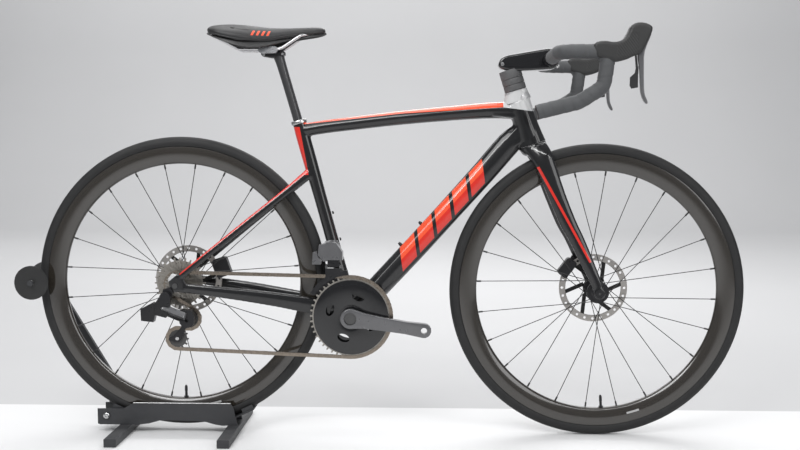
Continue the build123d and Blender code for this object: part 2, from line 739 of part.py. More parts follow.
def spokes(centre, flanges, valve_angle):
    """Two-cross lacing: neighbouring spokes of one flange lean opposite ways."""
    pieces = []
    for index in range(SPOKES):
        rim_angle = valve_angle + 7.5 + index * 360.0 / SPOKES
        side = index % 2
        lean = 60.0 if (index // 2) % 2 else -60.0
        flange_y = flanges[side]
        outward = 1 if flange_y > 0 else -1
        offset = outward * 3.4 if lean > 0 else outward * -2.45
        hub_angle = math.radians(rim_angle + lean)
        rim_angle = math.radians(rim_angle)
        start = Vector(
            centre[0] + FLANGE_HOLE_RADIUS * math.cos(hub_angle),
            flange_y + offset,
            centre[1] + FLANGE_HOLE_RADIUS * math.sin(hub_angle),
        )
        reach = RIM_INNER_RADIUS - 0.2
        end_y = 1.5 if flange_y > 0 else -1.5
        end = Vector(centre[0] + reach * math.cos(rim_angle), end_y, centre[1] + reach * math.sin(rim_angle))
        direction = (end - start).normalized()
        with BuildPart() as spoke:
            with BuildSketch(Plane(origin=start, z_dir=direction)):
                Circle(SPOKE_RADIUS)
            extrude(amount=(end - start).length)
            with BuildSketch(Plane(origin=end - direction * 10.0, z_dir=direction)):
                Circle(2.0)
            extrude(amount=9.8)
        pieces.append(spoke)
    return pieces


def rotor(centre, y):
    half = ROTOR_THICKNESS / 2
    with BuildPart() as part:
        with BuildSketch(side_plane(y + half)):
            with Locations(centre):
                Circle(ROTOR_RADIUS)
                Circle(ROTOR_RADIUS - 15.0, mode=Mode.SUBTRACT)
                with PolarLocations(44.0, 6):
                    Rectangle(48, 9, rotation=24)
                Circle(24.0)
                Circle(17.0, mode=Mode.SUBTRACT)
                with PolarLocations(ROTOR_RADIUS - 7.0, 24):
                    Circle(3.0, mode=Mode.SUBTRACT)
        extrude(amount=ROTOR_THICKNESS)
    return part


def hub(centre, flanges, ends, rotor_y):
    """Hub shell turned about the axle, with two spoke flanges and a rotor seat."""
    low, high = ends
    first, second = sorted(flanges)
    seat = rotor_y - ROTOR_THICKNESS / 2
    bore = AXLE_RADIUS + RUNNING_CLEARANCE
    with BuildPart() as part:
        with BuildSketch(axle_plane(centre)):
            Polygon(
                (bore, low), (11.0, low), (11.0, first - 5), (16.0, first - 1.5), (25.5, first - 1.5),
                (25.5, first + 1.5), (17.0, first + 1.5), (14.0, first + 7), (14.0, second - 7),
                (17.0, second - 1.5), (25.5, second - 1.5), (25.5, second + 1.5), (18.0, second + 1.5),
                (20.0, seat), (17.0, seat), (17.0, seat + 4), (11.0, seat + 5), (11.0, high), (bore, high),
                align=None,
            )
        revolve(axis=axle_axis(centre))
    return part


def valve(centre, valve_angle):
    direction = Vector(math.cos(math.radians(valve_angle)), 0, math.sin(math.radians(valve_angle)))
    origin = Vector(centre[0], 0, centre[1])
    base = origin + direction * (RIM_RADIUS - 1.0)
    tip = origin + direction * (RIM_INNER_RADIUS - 34.0)
    return rod(tuple(base), tuple(tip), 3.1)


FRONT_VALVE_ANGLE = -86.6
REAR_VALVE_ANGLE = -89.4
FRONT_ROTOR_Y = 39.6
REAR_ROTOR_Y = 56.0
wheel_sets = {
    "front": (FRONT_AXLE, (-33.0, 21.0), (-49.6, 49.6), FRONT_ROTOR_Y, FRONT_VALVE_ANGLE),
    "rear": (REAR_AXLE, (-17.0, 33.0), (-23.5, 70.6), REAR_ROTOR_Y, REAR_VALVE_ANGLE),
}
for name, (centre, flanges, ends, rotor_y, valve_angle) in wheel_sets.items():
    finish(tyre(centre), f"{name}_tyre")
    group(f"{name}_rim", [rim(centre, valve_angle), valve(centre, valve_angle)])
    group(f"{name}_spokes", spokes(centre, flanges, valve_angle))
    finish(hub(centre, flanges, ends, rotor_y), f"{name}_hub")
    finish(rotor(centre, rotor_y), f"{name}_rotor")

finish(disc(FRONT_AXLE, AXLE_RADIUS, -62.0, 66.0), "front_axle")
finish(disc(REAR_AXLE, AXLE_RADIUS, -79.0, 79.0), "rear_axle")

# ---------------------------------------------------------------- brakes


def caliper(axle, centre, rotor_y, body_from, body_to, length, height):
    """Caliper body astride the rotor's edge, and its two brake pads. Local y points away from the axle."""
    outward = along(axle, centre, 0)[1]
    distance = math.dist(axle, centre)
    turn = math.degrees(math.atan2(outward[1], outward[0])) - 90.0
    slot_top = ROTOR_RADIUS + 1.5 - distance
    slot_height = slot_top + height / 2 + 10.0
    with BuildPart() as body:
        with BuildSketch(side_plane(body_to)):
            with Locations(Location(centre, turn)):
                RectangleRounded(length, height, 7)
        extrude(amount=body_to - body_from)
        with BuildSketch(side_plane(rotor_y + 4.6)):
            with Locations(Location(centre, turn)):
                with Locations((0, slot_top - slot_height / 2)):
                    Rectangle(length + 20.0, slot_height)
        extrude(amount=9.2, mode=Mode.SUBTRACT)
    pads = []
    for side in SIDES:
        low, high = sorted((rotor_y + side * 1.35, rotor_y + side * 4.2))
        with BuildPart() as pad:
            with BuildSketch(side_plane(high)):
                with Locations(Location(centre, turn)):
                    with Locations((0, slot_top - 9.5)):
                        Rectangle(length * 0.5, 15.0)
            extrude(amount=high - low)
        pads.append(pad)
    return body, pads


front_caliper, front_pads = caliper(FRONT_AXLE, (442.0, 387.0), FRONT_ROTOR_Y, 28.5, 47.8, 46.0, 27.0)
with BuildPart() as front_caliper_mounted:
    add(front_caliper.part)
    with BuildSketch(side_plane(52.0)):
        with Locations(Location((447.0, 386.0), -116.0)):
            Rectangle(60, 12)
    extrude(amount=5.0)
    add(stay(FORK_BLADE, LEFT).part, mode=Mode.SUBTRACT)
finish(front_caliper_mounted, "front_caliper")
rear_caliper, rear_pads = caliper(REAR_AXLE, (-379.0, 383.0), REAR_ROTOR_Y, 46.5, 65.0, 46.0, 36.0)
with BuildPart() as rear_caliper_mounted:
    add(rear_caliper.part)
    add(stay(CHAINSTAY, LEFT).part, mode=Mode.SUBTRACT)
    add(stay(SEATSTAY, LEFT).part, mode=Mode.SUBTRACT)
finish(rear_caliper_mounted, "rear_caliper")
for name, pads in (("front", front_pads), ("rear", rear_pads)):
    finish(pads[0], f"{name}_pad_left")
    finish(pads[1], f"{name}_pad_right")

# ---------------------------------------------------------------- chain path

CHAIN_STOPS = [
    # centre, teeth, turning direction seen from the drive side (1 clockwise), plane y
    (BOTTOM_BRACKET, OUTER_RING_TEETH, 1, OUTER_RING_Y),
    (TENSION_PULLEY, PULLEY_TEETH, 1, COG_Y),
    (GUIDE_PULLEY, PULLEY_TEETH, -1, COG_Y),
    (REAR_AXLE, CASSETTE_TEETH[CHAIN_COG], 1, COG_Y),
]


def chain_spans():
    """Arcs and straight runs of the chain, each with its length counted in pitches."""
    headings = []
    runs = []
    count = len(CHAIN_STOPS)
    for index in range(count):
        start, start_teeth, start_turn, start_y = CHAIN_STOPS[index]
        end, end_teeth, end_turn, end_y = CHAIN_STOPS[(index + 1) % count]
        start_radius = start_turn * pitch_radius(start_teeth)
        end_radius = end_turn * pitch_radius(end_teeth)
        distance = math.dist(start, end)
        bearing = math.atan2(end[1] - start[1], end[0] - start[0])
        headings.append(bearing - math.asin((start_radius - end_radius) / distance))
        runs.append(math.sqrt(distance ** 2 - (start_radius - end_radius) ** 2))
    spans = []
    for index in range(count):
        centre, teeth, turn, y = CHAIN_STOPS[index]
        heading = headings[index - 1]
        sweep_angle = (heading - headings[index]) * turn % (2 * math.pi)
        spans.append(("arc", sweep_angle / (2 * math.pi) * teeth, centre, teeth, turn, y, heading))
        next_y = CHAIN_STOPS[(index + 1) % count][3]
        spans.append(("run", runs[index] / PITCH, centre, teeth, turn, y, headings[index], next_y, runs[index]))
    return spans


def chain_point(spans, position):
    """Point of the chain at a position counted in pitches from where it meets the chainring."""
    for span in spans:
        if position <= span[1]:
            break
        position -= span[1]
    kind, pitches, centre, teeth, turn, y, heading = span[:7]
    radius = pitch_radius(teeth) * turn
    if kind == "arc":
        heading -= turn * position * 2 * math.pi / teeth
        return Vector(centre[0] - radius * math.sin(heading), y, centre[1] + radius * math.cos(heading))
    share = position / pitches
    travel = share * span[8]
    return Vector(
        centre[0] - radius * math.sin(heading) + travel * math.cos(heading),
        y + share * (span[7] - y),
        centre[1] + radius * math.cos(heading) + travel * math.sin(heading),
    )


def tooth_phase(stop):
    """Angle of a tooth midway between the first two chain rollers on a sprocket, in degrees."""
    passed = 0.0
    for span in spans[: 2 * stop]:
        passed += span[1]
    first = math.ceil(passed / step) * step
    a = chain_point(spans, first)
    b = chain_point(spans, first + 1.0)
    centre = CHAIN_STOPS[stop][0]
    return math.degrees(math.atan2((a.Z + b.Z) / 2 - centre[1], (a.X + b.X) / 2 - centre[0]))


spans = chain_spans()
chain_pitches = sum(span[1] for span in spans)
step = chain_pitches / CHAIN_LINKS


def chain_link(plate_offset, hole, barrel, barrel_half, barrel_bore):
    """One chain link lying in the XY plane: two plates joined by two rollers or two pins."""
    with BuildPart() as link:
        for side in SIDES:
            low = min(side * plate_offset, side * (plate_offset + 0.5))
            with BuildSketch(Plane.XY.offset(low)):
                SlotCenterToCenter(PITCH, 8.0)
                if hole:
                    with Locations((-PITCH / 2, 0), (PITCH / 2, 0)):
                        Circle(hole, mode=Mode.SUBTRACT)
            extrude(amount=0.5)
        with BuildSketch(Plane.XY.offset(-barrel_half)):
            with Locations((-PITCH / 2, 0), (PITCH / 2, 0)):
                Circle(barrel)
                if barrel_bore:
                    Circle(barrel_bore, mode=Mode.SUBTRACT)
        extrude(amount=2 * barrel_half)
    return link


inner_link = chain_link(1.15, 1.35, ROLLER_RADIUS, 1.15, 1.35)
outer_link = chain_link(1.75, 0.0, 1.2, 2.35, 0.0)

links = []
for index in range(CHAIN_LINKS):
    start = chain_point(spans, index * step)
    end = chain_point(spans, ((index + 1) % CHAIN_LINKS) * step)
    forward = (end - start).normalized()
    across = Vector(0, -1, 0)
    across = (across - forward * across.dot(forward)).normalized()
    place = Plane(origin=(start + end) / 2, x_dir=forward, z_dir=across).location
    source = inner_link if index % 2 else outer_link
    links.append(source.part.solids()[0].moved(place))
chain = Compound(children=links)
chain.label = "chain"
export_step(chain, "parts/chain.step")

# ---------------------------------------------------------------- crankset

right_pedal = (
    BOTTOM_BRACKET[0] + CRANK_LENGTH * math.cos(math.radians(CRANK_ANGLE)),
    BOTTOM_BRACKET[1] + CRANK_LENGTH * math.sin(math.radians(CRANK_ANGLE)),
)
left_pedal = (2 * BOTTOM_BRACKET[0] - right_pedal[0], 2 * BOTTOM_BRACKET[1] - right_pedal[1])
spindle = disc(BOTTOM_BRACKET, SPINDLE_RADIUS, -62.0, 62.0, 12.0)


def crank_arm(pedal, side):
    low, high = sorted((side * 60.0, side * 74.5))
    boss_low, boss_high = sorted((side * 44.0, side * 66.0))
    unit = along(BOTTOM_BRACKET, pedal, 0)[1]
    square = (-unit[1], unit[0])
    with BuildPart() as arm:
        with BuildSketch(side_plane(high)):
            with Locations(pedal):
                Circle(17.5)
            Polygon(
                (BOTTOM_BRACKET[0] + square[0] * 23, BOTTOM_BRACKET[1] + square[1] * 23),
                (pedal[0] + square[0] * 17.4, pedal[1] + square[1] * 17.4),
                (pedal[0] - square[0] * 17.4, pedal[1] - square[1] * 17.4),
                (BOTTOM_BRACKET[0] - square[0] * 23, BOTTOM_BRACKET[1] - square[1] * 23),
                align=None,
            )
            with Locations(BOTTOM_BRACKET):
                Circle(23.0)
        extrude(amount=high - low)
        with BuildSketch(side_plane(boss_high)):
            with Locations(BOTTOM_BRACKET):
                Circle(21.0)
        extrude(amount=boss_high - boss_low)
        with BuildSketch(side_plane(100)):
            with Locations(pedal):
                Circle(PEDAL_HOLE_RADIUS)
            with Locations(BOTTOM_BRACKET):
                Circle(SPINDLE_RADIUS)
        extrude(amount=200, mode=Mode.SUBTRACT)
    return arm


finish(crank_arm(right_pedal, RIGHT), "crank_arm_right")
finish(crank_arm(left_pedal, LEFT), "crank_arm_left")
crank_caps = [disc(BOTTOM_BRACKET, 14.4, side * 65.5 - 3.3, side * 65.5 + 3.3) for side in SIDES]
group("crank_spindle", [spindle] + crank_caps)

with BuildPart() as spider:
    with BuildSketch(side_plane(OUTER_RING_Y - OUTER_RING_HALF)):
        with Locations(BOTTOM_BRACKET):
            Circle(86.0)
            Circle(21.0, mode=Mode.SUBTRACT)
            with PolarLocations(50.0, 4, start_angle=70.0):
                Ellipse(10.0, 15.0, mode=Mode.SUBTRACT)
    extrude(amount=4.0)
    with BuildSketch(side_plane(-44.0)):
        with Locations(BOTTOM_BRACKET):
            Circle(27.0)
            Circle(21.0, mode=Mode.SUBTRACT)
    extrude(amount=5.0)
outer_ring = sprocket(
    OUTER_RING_TEETH, BOTTOM_BRACKET, OUTER_RING_Y, 2 * OUTER_RING_HALF, tooth_phase(0), 76.0, 5.8,
)
finish(outer_ring, "outer_chainring")
inner_ring = sprocket(INNER_RING_TEETH, BOTTOM_BRACKET, INNER_RING_Y, 2.0, tooth_phase(0), 50.0)
chainring_bolts = []
for index in range(4):
    angle = math.radians(25.0 + 90.0 * index)
    spot = (BOTTOM_BRACKET[0] + 53.5 * math.cos(angle), BOTTOM_BRACKET[1] + 53.5 * math.sin(angle))
    chainring_bolts.append(disc(spot, 4.5, OUTER_RING_Y - OUTER_RING_HALF, INNER_RING_Y - 1.0))
group("chainring_spider", [spider, inner_ring] + chainring_bolts)

# ---------------------------------------------------------------- cassette

with BuildPart() as cassette:
    for index, teeth in enumerate(CASSETTE_TEETH):
        y = FIRST_COG_Y + index * COG_SPACING
        phase = tooth_phase(3) if index == CHAIN_COG else 0.0
        add(sprocket(teeth, REAR_AXLE, y, 1.5, phase, 9.0).part)
    with BuildSketch(side_plane(-24.0)):
        with Locations(REAR_AXLE):
            Circle(16.0)
            Circle(AXLE_RADIUS + RUNNING_CLEARANCE, mode=Mode.SUBTRACT)
    extrude(amount=46.6)
finish(cassette, "cassette")

# ---------------------------------------------------------------- rear derailleur

HANGER_BOLT = (-480.0, 330.0)
SWING_AXIS = Vector(0.26, 0.645, 0.717).normalized()
LINK_LENGTH = 48.0
OUTER_LINK_START = Vector(-484.0, -86.0, 306.0)
LINK_HEADING = Vector(54.0, 6.0, -20.0)
LINK_HEADING = (LINK_HEADING - SWING_AXIS * LINK_HEADING.dot(SWING_AXIS)).normalized()
LINK_ASIDE = SWING_AXIS.cross(LINK_HEADING)
INNER_LINK_START = OUTER_LINK_START + LINK_ASIDE * 15.0
OUTER_LINK_END = OUTER_LINK_START + LINK_HEADING * LINK_LENGTH
INNER_LINK_END = INNER_LINK_START + LINK_HEADING * LINK_LENGTH
SWING_LOW = -19.0
SWING_HIGH = 36.0
LINK_PIN_RADIUS = 2.0


def swing_plane(origin, lift=0.0):
    """Plane square to the derailleur's swing axis: sketch x runs along the links at rest."""
    return Plane(origin=tuple(origin + SWING_AXIS * lift), x_dir=tuple(LINK_HEADING), z_dir=tuple(SWING_AXIS))


def swing_link(start, half_width, half_height):
    with BuildPart() as link:
        with BuildSketch(swing_plane(start, -half_height)):
            with Locations((LINK_LENGTH / 2, 0)):
                SlotCenterToCenter(LINK_LENGTH, 2 * half_width)
            for x in (0.0, LINK_LENGTH):
                with Locations((x, 0)):
                    Circle(LINK_PIN_RADIUS + RUNNING_CLEARANCE, mode=Mode.SUBTRACT)
        extrude(amount=2 * half_height)
    return link


def swing_pocket(origin, half_width, half_height, low, high, facing):
    """Room for the end of a link, seen from the piece that it swings in."""
    with BuildPart() as pocket:
        with BuildSketch(swing_plane(origin, -half_height - 0.4)):
            Circle(half_width + 0.4)
            for index in range(12):
                angle = low + (high - low) * index / 11
                with Locations(Location((0, 0), angle)):
                    with Locations((facing * 50.0, 0)):
                        Rectangle(100.0, 2 * half_width + 0.8)
        extrude(amount=2 * half_height + 0.8)
    return pocket


def swing_pin(origin, half_height):
    with BuildPart() as pin:
        with BuildSketch(swing_plane(origin, -half_height)):
            Circle(LINK_PIN_RADIUS)
        extrude(amount=2 * half_height)
    return pin


with BuildPart() as hanger:
    with BuildSketch(side_plane(-77.0)):
        Polygon((-492, 326), (-486, 348), (-470, 352), (-464, 342), (-468, 322), (-482, 316), align=None)
    extrude(amount=4.0)
    with BuildSketch(side_plane(-81.0)):
        with Locations(HANGER_BOLT):
            Circle(6.0)
    extrude(amount=11.0)
    with BuildSketch(side_plane(-40.0)):
        with Locations(REAR_AXLE):
            Circle(9.0)
    extrude(amount=60.0, mode=Mode.SUBTRACT)

with BuildPart() as upper_knuckle:
    with BuildSketch(side_plane(-81.2)):
        with Locations(HANGER_BOLT):
            Circle(12.5)
        Polygon((-493, 331), (-502, 318), (-503, 290), (-478, 284), (-470, 300), (-468, 326), align=None)
    extrude(amount=10.5)
    with BuildSketch(side_plane(-72.0)):
        Polygon((-502, 316), (-502, 288), (-480, 286), (-474, 308), (-490, 318), align=None)
    extrude(amount=12.0)
    for start in (OUTER_LINK_START, INNER_LINK_START):
        add(swing_pocket(start, 6.0, 7.0, SWING_LOW - 1, SWING_HIGH + 1, 1).part, mode=Mode.SUBTRACT)
    for start in (OUTER_LINK_START, INNER_LINK_START):
        add(swing_pin(start, 9.0).part)
    with BuildSketch(side_plane(-40.0)):
        with Locations(HANGER_BOLT):
            Circle(6.0)
    extrude(amount=80.0, mode=Mode.SUBTRACT)
    add(hanger.part, mode=Mode.SUBTRACT)
battery = plate([(-536, 304), (-535, 277), (-507, 274), (-503, 290), (-503, 315), (-509, 318)], -92.0, -74.0)
group("derailleur_upper_knuckle", [hanger, upper_knuckle, battery])

finish(swing_link(OUTER_LINK_START, 6.0, 7.0), "derailleur_outer_link")
finish(swing_link(INNER_LINK_START, 6.0, 7.0), "derailleur_inner_link")

with BuildPart() as lower_knuckle:
    with BuildSketch(side_plane(-60.5)):
        with Locations(GUIDE_PULLEY):
            Circle(17.0)
        Polygon((-452, 284), (-448, 300), (-424, 300), (-416, 284), (-424, 262), (-444, 262), align=None)
    extrude(amount=20.0)
    for end in (OUTER_LINK_END, INNER_LINK_END):
        add(swing_pocket(end, 6.0, 7.0, SWING_LOW - 1, SWING_HIGH + 1, -1).part, mode=Mode.SUBTRACT)
    for end in (OUTER_LINK_END, INNER_LINK_END):
        add(swing_pin(end, 9.0).part)
    with BuildSketch(side_plane(-40.0)):
        with Locations(GUIDE_PULLEY):
            Circle(4.0 + RUNNING_CLEARANCE)
    extrude(amount=50.0, mode=Mode.SUBTRACT)
finish(lower_knuckle, "derailleur_lower_knuckle")

PULLEY_BOLT_RADIUS = 3.0
CAGE_UNIT = along(GUIDE_PULLEY, TENSION_PULLEY, 0)[1]
CAGE_ASIDE = (CAGE_UNIT[1], -CAGE_UNIT[0])


def cage_point(down, aside):
    return (
        GUIDE_PULLEY[0] + CAGE_UNIT[0] * down + CAGE_ASIDE[0] * aside,
        GUIDE_PULLEY[1] + CAGE_UNIT[1] * down + CAGE_ASIDE[1] * aside,
    )


CAGE_OUTLINE = [
    cage_point(-12, -2), cage_point(-8, 9), cage_point(4, 11), cage_point(27, 6), cage_point(50, 10),
    cage_point(62, 17), cage_point(67, 16), cage_point(64, 2), cage_point(57, -9), cage_point(46, -9),
    cage_point(27, -4), cage_point(6, -10), cage_point(-8, -9),
]
with BuildPart() as cage:
    for low in (COG_Y - 5.6, COG_Y + 3.9):
        with BuildSketch(side_plane(low + 1.7)):
            Polygon(*CAGE_OUTLINE, align=None)
        extrude(amount=1.7)
    with BuildSketch(side_plane(COG_Y + 5.6)):
        with Locations(GUIDE_PULLEY, TENSION_PULLEY):
            Circle(PULLEY_BOLT_RADIUS)
    extrude(amount=11.2)
    with BuildSketch(side_plane(COG_Y - 5.6)):
        with Locations(GUIDE_PULLEY):
            Circle(4.0)
    extrude(amount=16.0)
finish(cage, "derailleur_cage")

for name, centre, stop in (("guide", GUIDE_PULLEY, 2), ("tension", TENSION_PULLEY, 1)):
    bore = PULLEY_BOLT_RADIUS + RUNNING_CLEARANCE
    pulley = sprocket(PULLEY_TEETH, centre, COG_Y, 1.7, tooth_phase(stop), bore, 5.4)
    finish(pulley, f"{name}_pulley")

# ---------------------------------------------------------------- front derailleur

SWINGER_TOP = (-42.25, 428.3)         # y, z of the upper pivot
SWINGER_BOTTOM = (-46.0, 398.6)
SWINGER_X = -101.0
SWINGER_HALF_WIDTH = 4.0
swinger_angle = math.degrees(math.atan2(SWINGER_BOTTOM[1] - SWINGER_TOP[1], SWINGER_BOTTOM[0] - SWINGER_TOP[0]))
swinger_length = math.dist(SWINGER_TOP, SWINGER_BOTTOM)
with BuildPart() as fd_body:
    with BuildSketch(side_plane(-15.0)):
        Polygon((-125, 414), (-123, 452), (-112, 456), (-94, 455), (-84, 432), (-82, 414), align=None)
    extrude(amount=9.0)
    with BuildSketch(side_plane(-24.0)):
        Polygon((-137, 424), (-134, 446), (-110, 455), (-95, 452), (-80, 430), (-80, 412), (-124, 409), align=None)
    extrude(amount=26.0)
    with BuildSketch(Plane.YZ.offset(SWINGER_X - 14.0)):
        with Locations(SWINGER_TOP):
            Circle(SWINGER_HALF_WIDTH + 0.5)
            for index in range(7):
                with Locations(Location((0, 0), -101.0 + index * 22.0 / 6)):
                    with Locations((20, 0)):
                        Rectangle(40, 2 * SWINGER_HALF_WIDTH + 1.0)
    extrude(amount=28.0, mode=Mode.SUBTRACT)
    with BuildSketch(Plane.YZ.offset(SWINGER_X - 16.0)):
        with Locations(SWINGER_TOP):
            Circle(2.0)
    extrude(amount=32.0)
    add(seat_tube_solid.part, mode=Mode.SUBTRACT)
fd_battery = plate([(-150, 402), (-148, 430), (-139, 432), (-137.6, 424), (-130, 409), (-130, 402)], -50.0, -26.0)
with BuildPart() as fd_battery_trimmed:
    add(fd_battery.part)
    add(fd_body.part, mode=Mode.SUBTRACT)
group("front_derailleur_body", [fd_body, fd_battery_trimmed])

with BuildPart() as fd_swinger:
    with BuildSketch(Plane.YZ.offset(SWINGER_X - 13.5)):
        with Locations(Location(SWINGER_TOP, swinger_angle)):
            with Locations((swinger_length / 2, 0)):
                SlotCenterToCenter(swinger_length, 2 * SWINGER_HALF_WIDTH)
            for x in (0.0, swinger_length):
                with Locations((x, 0)):
                    Circle(2.0 + RUNNING_CLEARANCE, mode=Mode.SUBTRACT)
    extrude(amount=27.0)
finish(fd_swinger, "front_derailleur_link")


def ring_point(radius, angle):
    return (
        BOTTOM_BRACKET[0] + radius * math.cos(math.radians(angle)),
        BOTTOM_BRACKET[1] + radius * math.sin(math.radians(angle)),
    )


def cage_plate(inner_radius, outer_radius, angle_from, angle_to, y_from, y_to):
    steps = 8
    outline = []
    for index in range(steps + 1):
        outline.append(ring_point(outer_radius, angle_from + (angle_to - angle_from) * index / steps))
    for index in range(steps + 1):
        outline.append(ring_point(inner_radius, angle_to - (angle_to - angle_from) * index / steps))
    return plate(outline, y_from, y_to)


with BuildPart() as fd_cage:
    add(cage_plate(98.0, 109.0, 94.0, 149.0, -52.6, -51.4).part)
    add(cage_plate(80.0, 109.0, 94.0, 149.0, -41.6, -40.4).part)
    add(cage_plate(107.6, 109.0, 94.0, 102.0, -52.6, -40.4).part)
    add(cage_plate(98.0, 109.0, 147.0, 149.0, -52.6, -40.4).part)
    add(plate([(-119, 370), (-119, 394), (-83, 394), (-83, 380)], -52.6, -51.4).part)
    for x in (SWINGER_X - 18.0, SWINGER_X + 14.0):
        with BuildSketch(Plane.YZ.offset(x)):
            with Locations(SWINGER_BOTTOM):
                Circle(4.5)
            Polygon((-50.5, 398.6), (-52.6, 394.0), (-52.6, 383.5), (-41.5, 383.5), (-41.5, 398.6), align=None)
        extrude(amount=4.0)
    with BuildSketch(Plane.YZ.offset(SWINGER_X - 18.0)):
        with Locations(SWINGER_BOTTOM):
            Circle(2.0)
    extrude(amount=36.0)
finish(fd_cage, "front_derailleur_cage")

# ---------------------------------------------------------------- wheel stand

feet = []
foot_caps = []
for x in (-595.0, -340.0):
    half = STAND_FOOT_LENGTH / 2
    with BuildPart() as foot:
        with BuildSketch(side_plane(half - 3.0)):
            with Locations((x, STAND_FOOT_HEIGHT / 2)):
                RectangleRounded(STAND_FOOT_WIDTH, STAND_FOOT_HEIGHT, 2)
                Rectangle(STAND_FOOT_WIDTH - 3.0, STAND_FOOT_HEIGHT - 3.0, mode=Mode.SUBTRACT)
        extrude(amount=STAND_FOOT_LENGTH - 6.0)
    feet.append(foot)
    for side in SIDES:
        low, high = sorted((side * (half - 3.0), side * half))
        with BuildPart() as cap:
            with BuildSketch(side_plane(high)):
                with Locations((x, STAND_FOOT_HEIGHT / 2)):
                    RectangleRounded(STAND_FOOT_WIDTH, STAND_FOOT_HEIGHT, 2)
            extrude(amount=high - low)
        foot_caps.append(cap)
group("stand_feet", feet + foot_caps)

PLATE_OUTLINE = [
    (-661, 21), (-661, 57), (-600, 57), (-578, 69), (-345, 69), (-340, 62), (-330, 19), (-352, 19),
    (-366, 18), (-384, 21), (-405, 27), (-430, 29), (-490, 30), (-515, 29), (-540, 22), (-566, 19), (-656, 19),
]
side_plates = []
lip_rods = []
for side in SIDES:
    low, high = sorted((side * STAND_HALF_GAP, side * (STAND_HALF_GAP + STAND_PLATE)))
    side_plates.append(plate(PLATE_OUTLINE, low, high, [(ARM_PIVOT, 4.0)]))
    lip_y = side * (STAND_HALF_GAP + 1.0)
    lip_rods.append(rod((-577.0, lip_y, 70.5), (-345.0, lip_y, 70.5), 1.5))

trays = []
for direction in (-1, 1):
    slope = math.radians(direction * 24.4)
    outward = (math.sin(slope), -math.cos(slope))
    run = (math.cos(slope), math.sin(slope))
    corners = []
    for distance, slide in ((339.35, -26), (339.35, 30), (341.85, 30), (341.85, -26)):
        corners.append((
            REAR_AXLE[0] + outward[0] * distance + run[0] * slide * direction,
            REAR_AXLE[1] + outward[1] * distance + run[1] * slide * direction,
        ))
    with BuildPart() as tray:
        with BuildSketch(side_plane(STAND_HALF_GAP - 0.05)):
            Polygon(*corners, align=None)
        extrude(amount=2 * STAND_HALF_GAP - 0.1)
        for side in SIDES:
            low, high = sorted((side * 22.0, side * 24.0))
            flange = []
            for distance, slide in ((329.0, 2), (329.0, 30), (340.0, 30), (340.0, 2)):
                flange.append((
                    REAR_AXLE[0] + outward[0] * distance + run[0] * slide * direction,
                    REAR_AXLE[1] + outward[1] * distance + run[1] * slide * direction,
                ))
            with BuildSketch(side_plane(high)):
                Polygon(*flange, align=None)
            extrude(amount=high - low)
    trays.append(tray)

with BuildPart() as arm_bolt:
    add(disc(ARM_PIVOT, 4.0, -33.0, 62.0).part)
    add(disc(ARM_PIVOT, 7.0, -33.5, -30.0).part)
    add(disc(ARM_PIVOT, 7.0, 30.0, 46.5).part)
    add(disc(ARM_PIVOT, 7.0, 57.5, 61.5).part)
group("stand_cradle", side_plates + lip_rods + trays + [arm_bolt])

ARM_OUTLINE = [(-658, 28), (-658, 97), (-829, 385), (-811, 396), (-609, 57), (-609, 28)]
arm = plate(ARM_OUTLINE, 47.0, 57.0, [(ARM_PIVOT, 4.0 + RUNNING_CLEARANCE), (ROLLER_AXLE, 3.0)])
with BuildPart() as roller_bolt:
    add(disc(ROLLER_AXLE, 3.0, -50.0, 60.0).part)
    add(disc(ROLLER_AXLE, 6.5, -53.0, -46.0).part)
    add(disc(ROLLER_AXLE, 6.5, 57.0, 62.0).part)
group("stand_arm", [arm, roller_bolt])
with BuildPart() as rollers:
    with BuildSketch(axle_plane(ROLLER_AXLE)):
        Polygon(
            (3.05, -45.5), (39.5, -45.5), (39.5, -43.5), (20, -29), (8, -14), (5.2, -2), (5.2, 2),
            (8, 14), (20, 29), (39.5, 43.5), (39.5, 45.5), (3.05, 45.5), align=None,
        )
    revolve(axis=axle_axis(ROLLER_AXLE))
finish(rollers, "stand_roller")
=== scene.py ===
import json
import math

import bmesh
import bpy
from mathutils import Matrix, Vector


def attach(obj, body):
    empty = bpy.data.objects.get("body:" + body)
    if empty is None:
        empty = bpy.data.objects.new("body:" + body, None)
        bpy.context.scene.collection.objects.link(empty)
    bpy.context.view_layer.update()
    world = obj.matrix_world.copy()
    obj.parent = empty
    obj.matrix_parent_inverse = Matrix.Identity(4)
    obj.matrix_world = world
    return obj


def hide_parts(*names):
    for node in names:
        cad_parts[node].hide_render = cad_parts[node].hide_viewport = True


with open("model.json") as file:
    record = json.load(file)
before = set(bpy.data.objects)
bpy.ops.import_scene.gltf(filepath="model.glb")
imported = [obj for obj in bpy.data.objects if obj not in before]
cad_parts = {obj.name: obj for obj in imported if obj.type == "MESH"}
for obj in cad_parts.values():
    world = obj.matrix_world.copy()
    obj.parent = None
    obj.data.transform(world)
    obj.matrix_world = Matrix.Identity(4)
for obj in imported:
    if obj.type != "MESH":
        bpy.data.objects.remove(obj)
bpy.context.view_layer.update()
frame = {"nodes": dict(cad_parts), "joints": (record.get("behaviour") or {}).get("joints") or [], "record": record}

bl_info = {
    "name": "Road bicycle on a wheel stand",
    "version": (1, 0, 0),
    "blender": (4, 5, 0),
    "location": "View3D > Sidebar > Bicycle",
    "description": "Builds the visible pieces and finishes of a road bicycle held by a wheel stand",
    "category": "Object",
}

JOINTS = {joint["name"]: joint for joint in frame["joints"]}


def pivot(name):
    """Where a joint turns, in metres."""
    return Vector(JOINTS[name]["pos_m"])


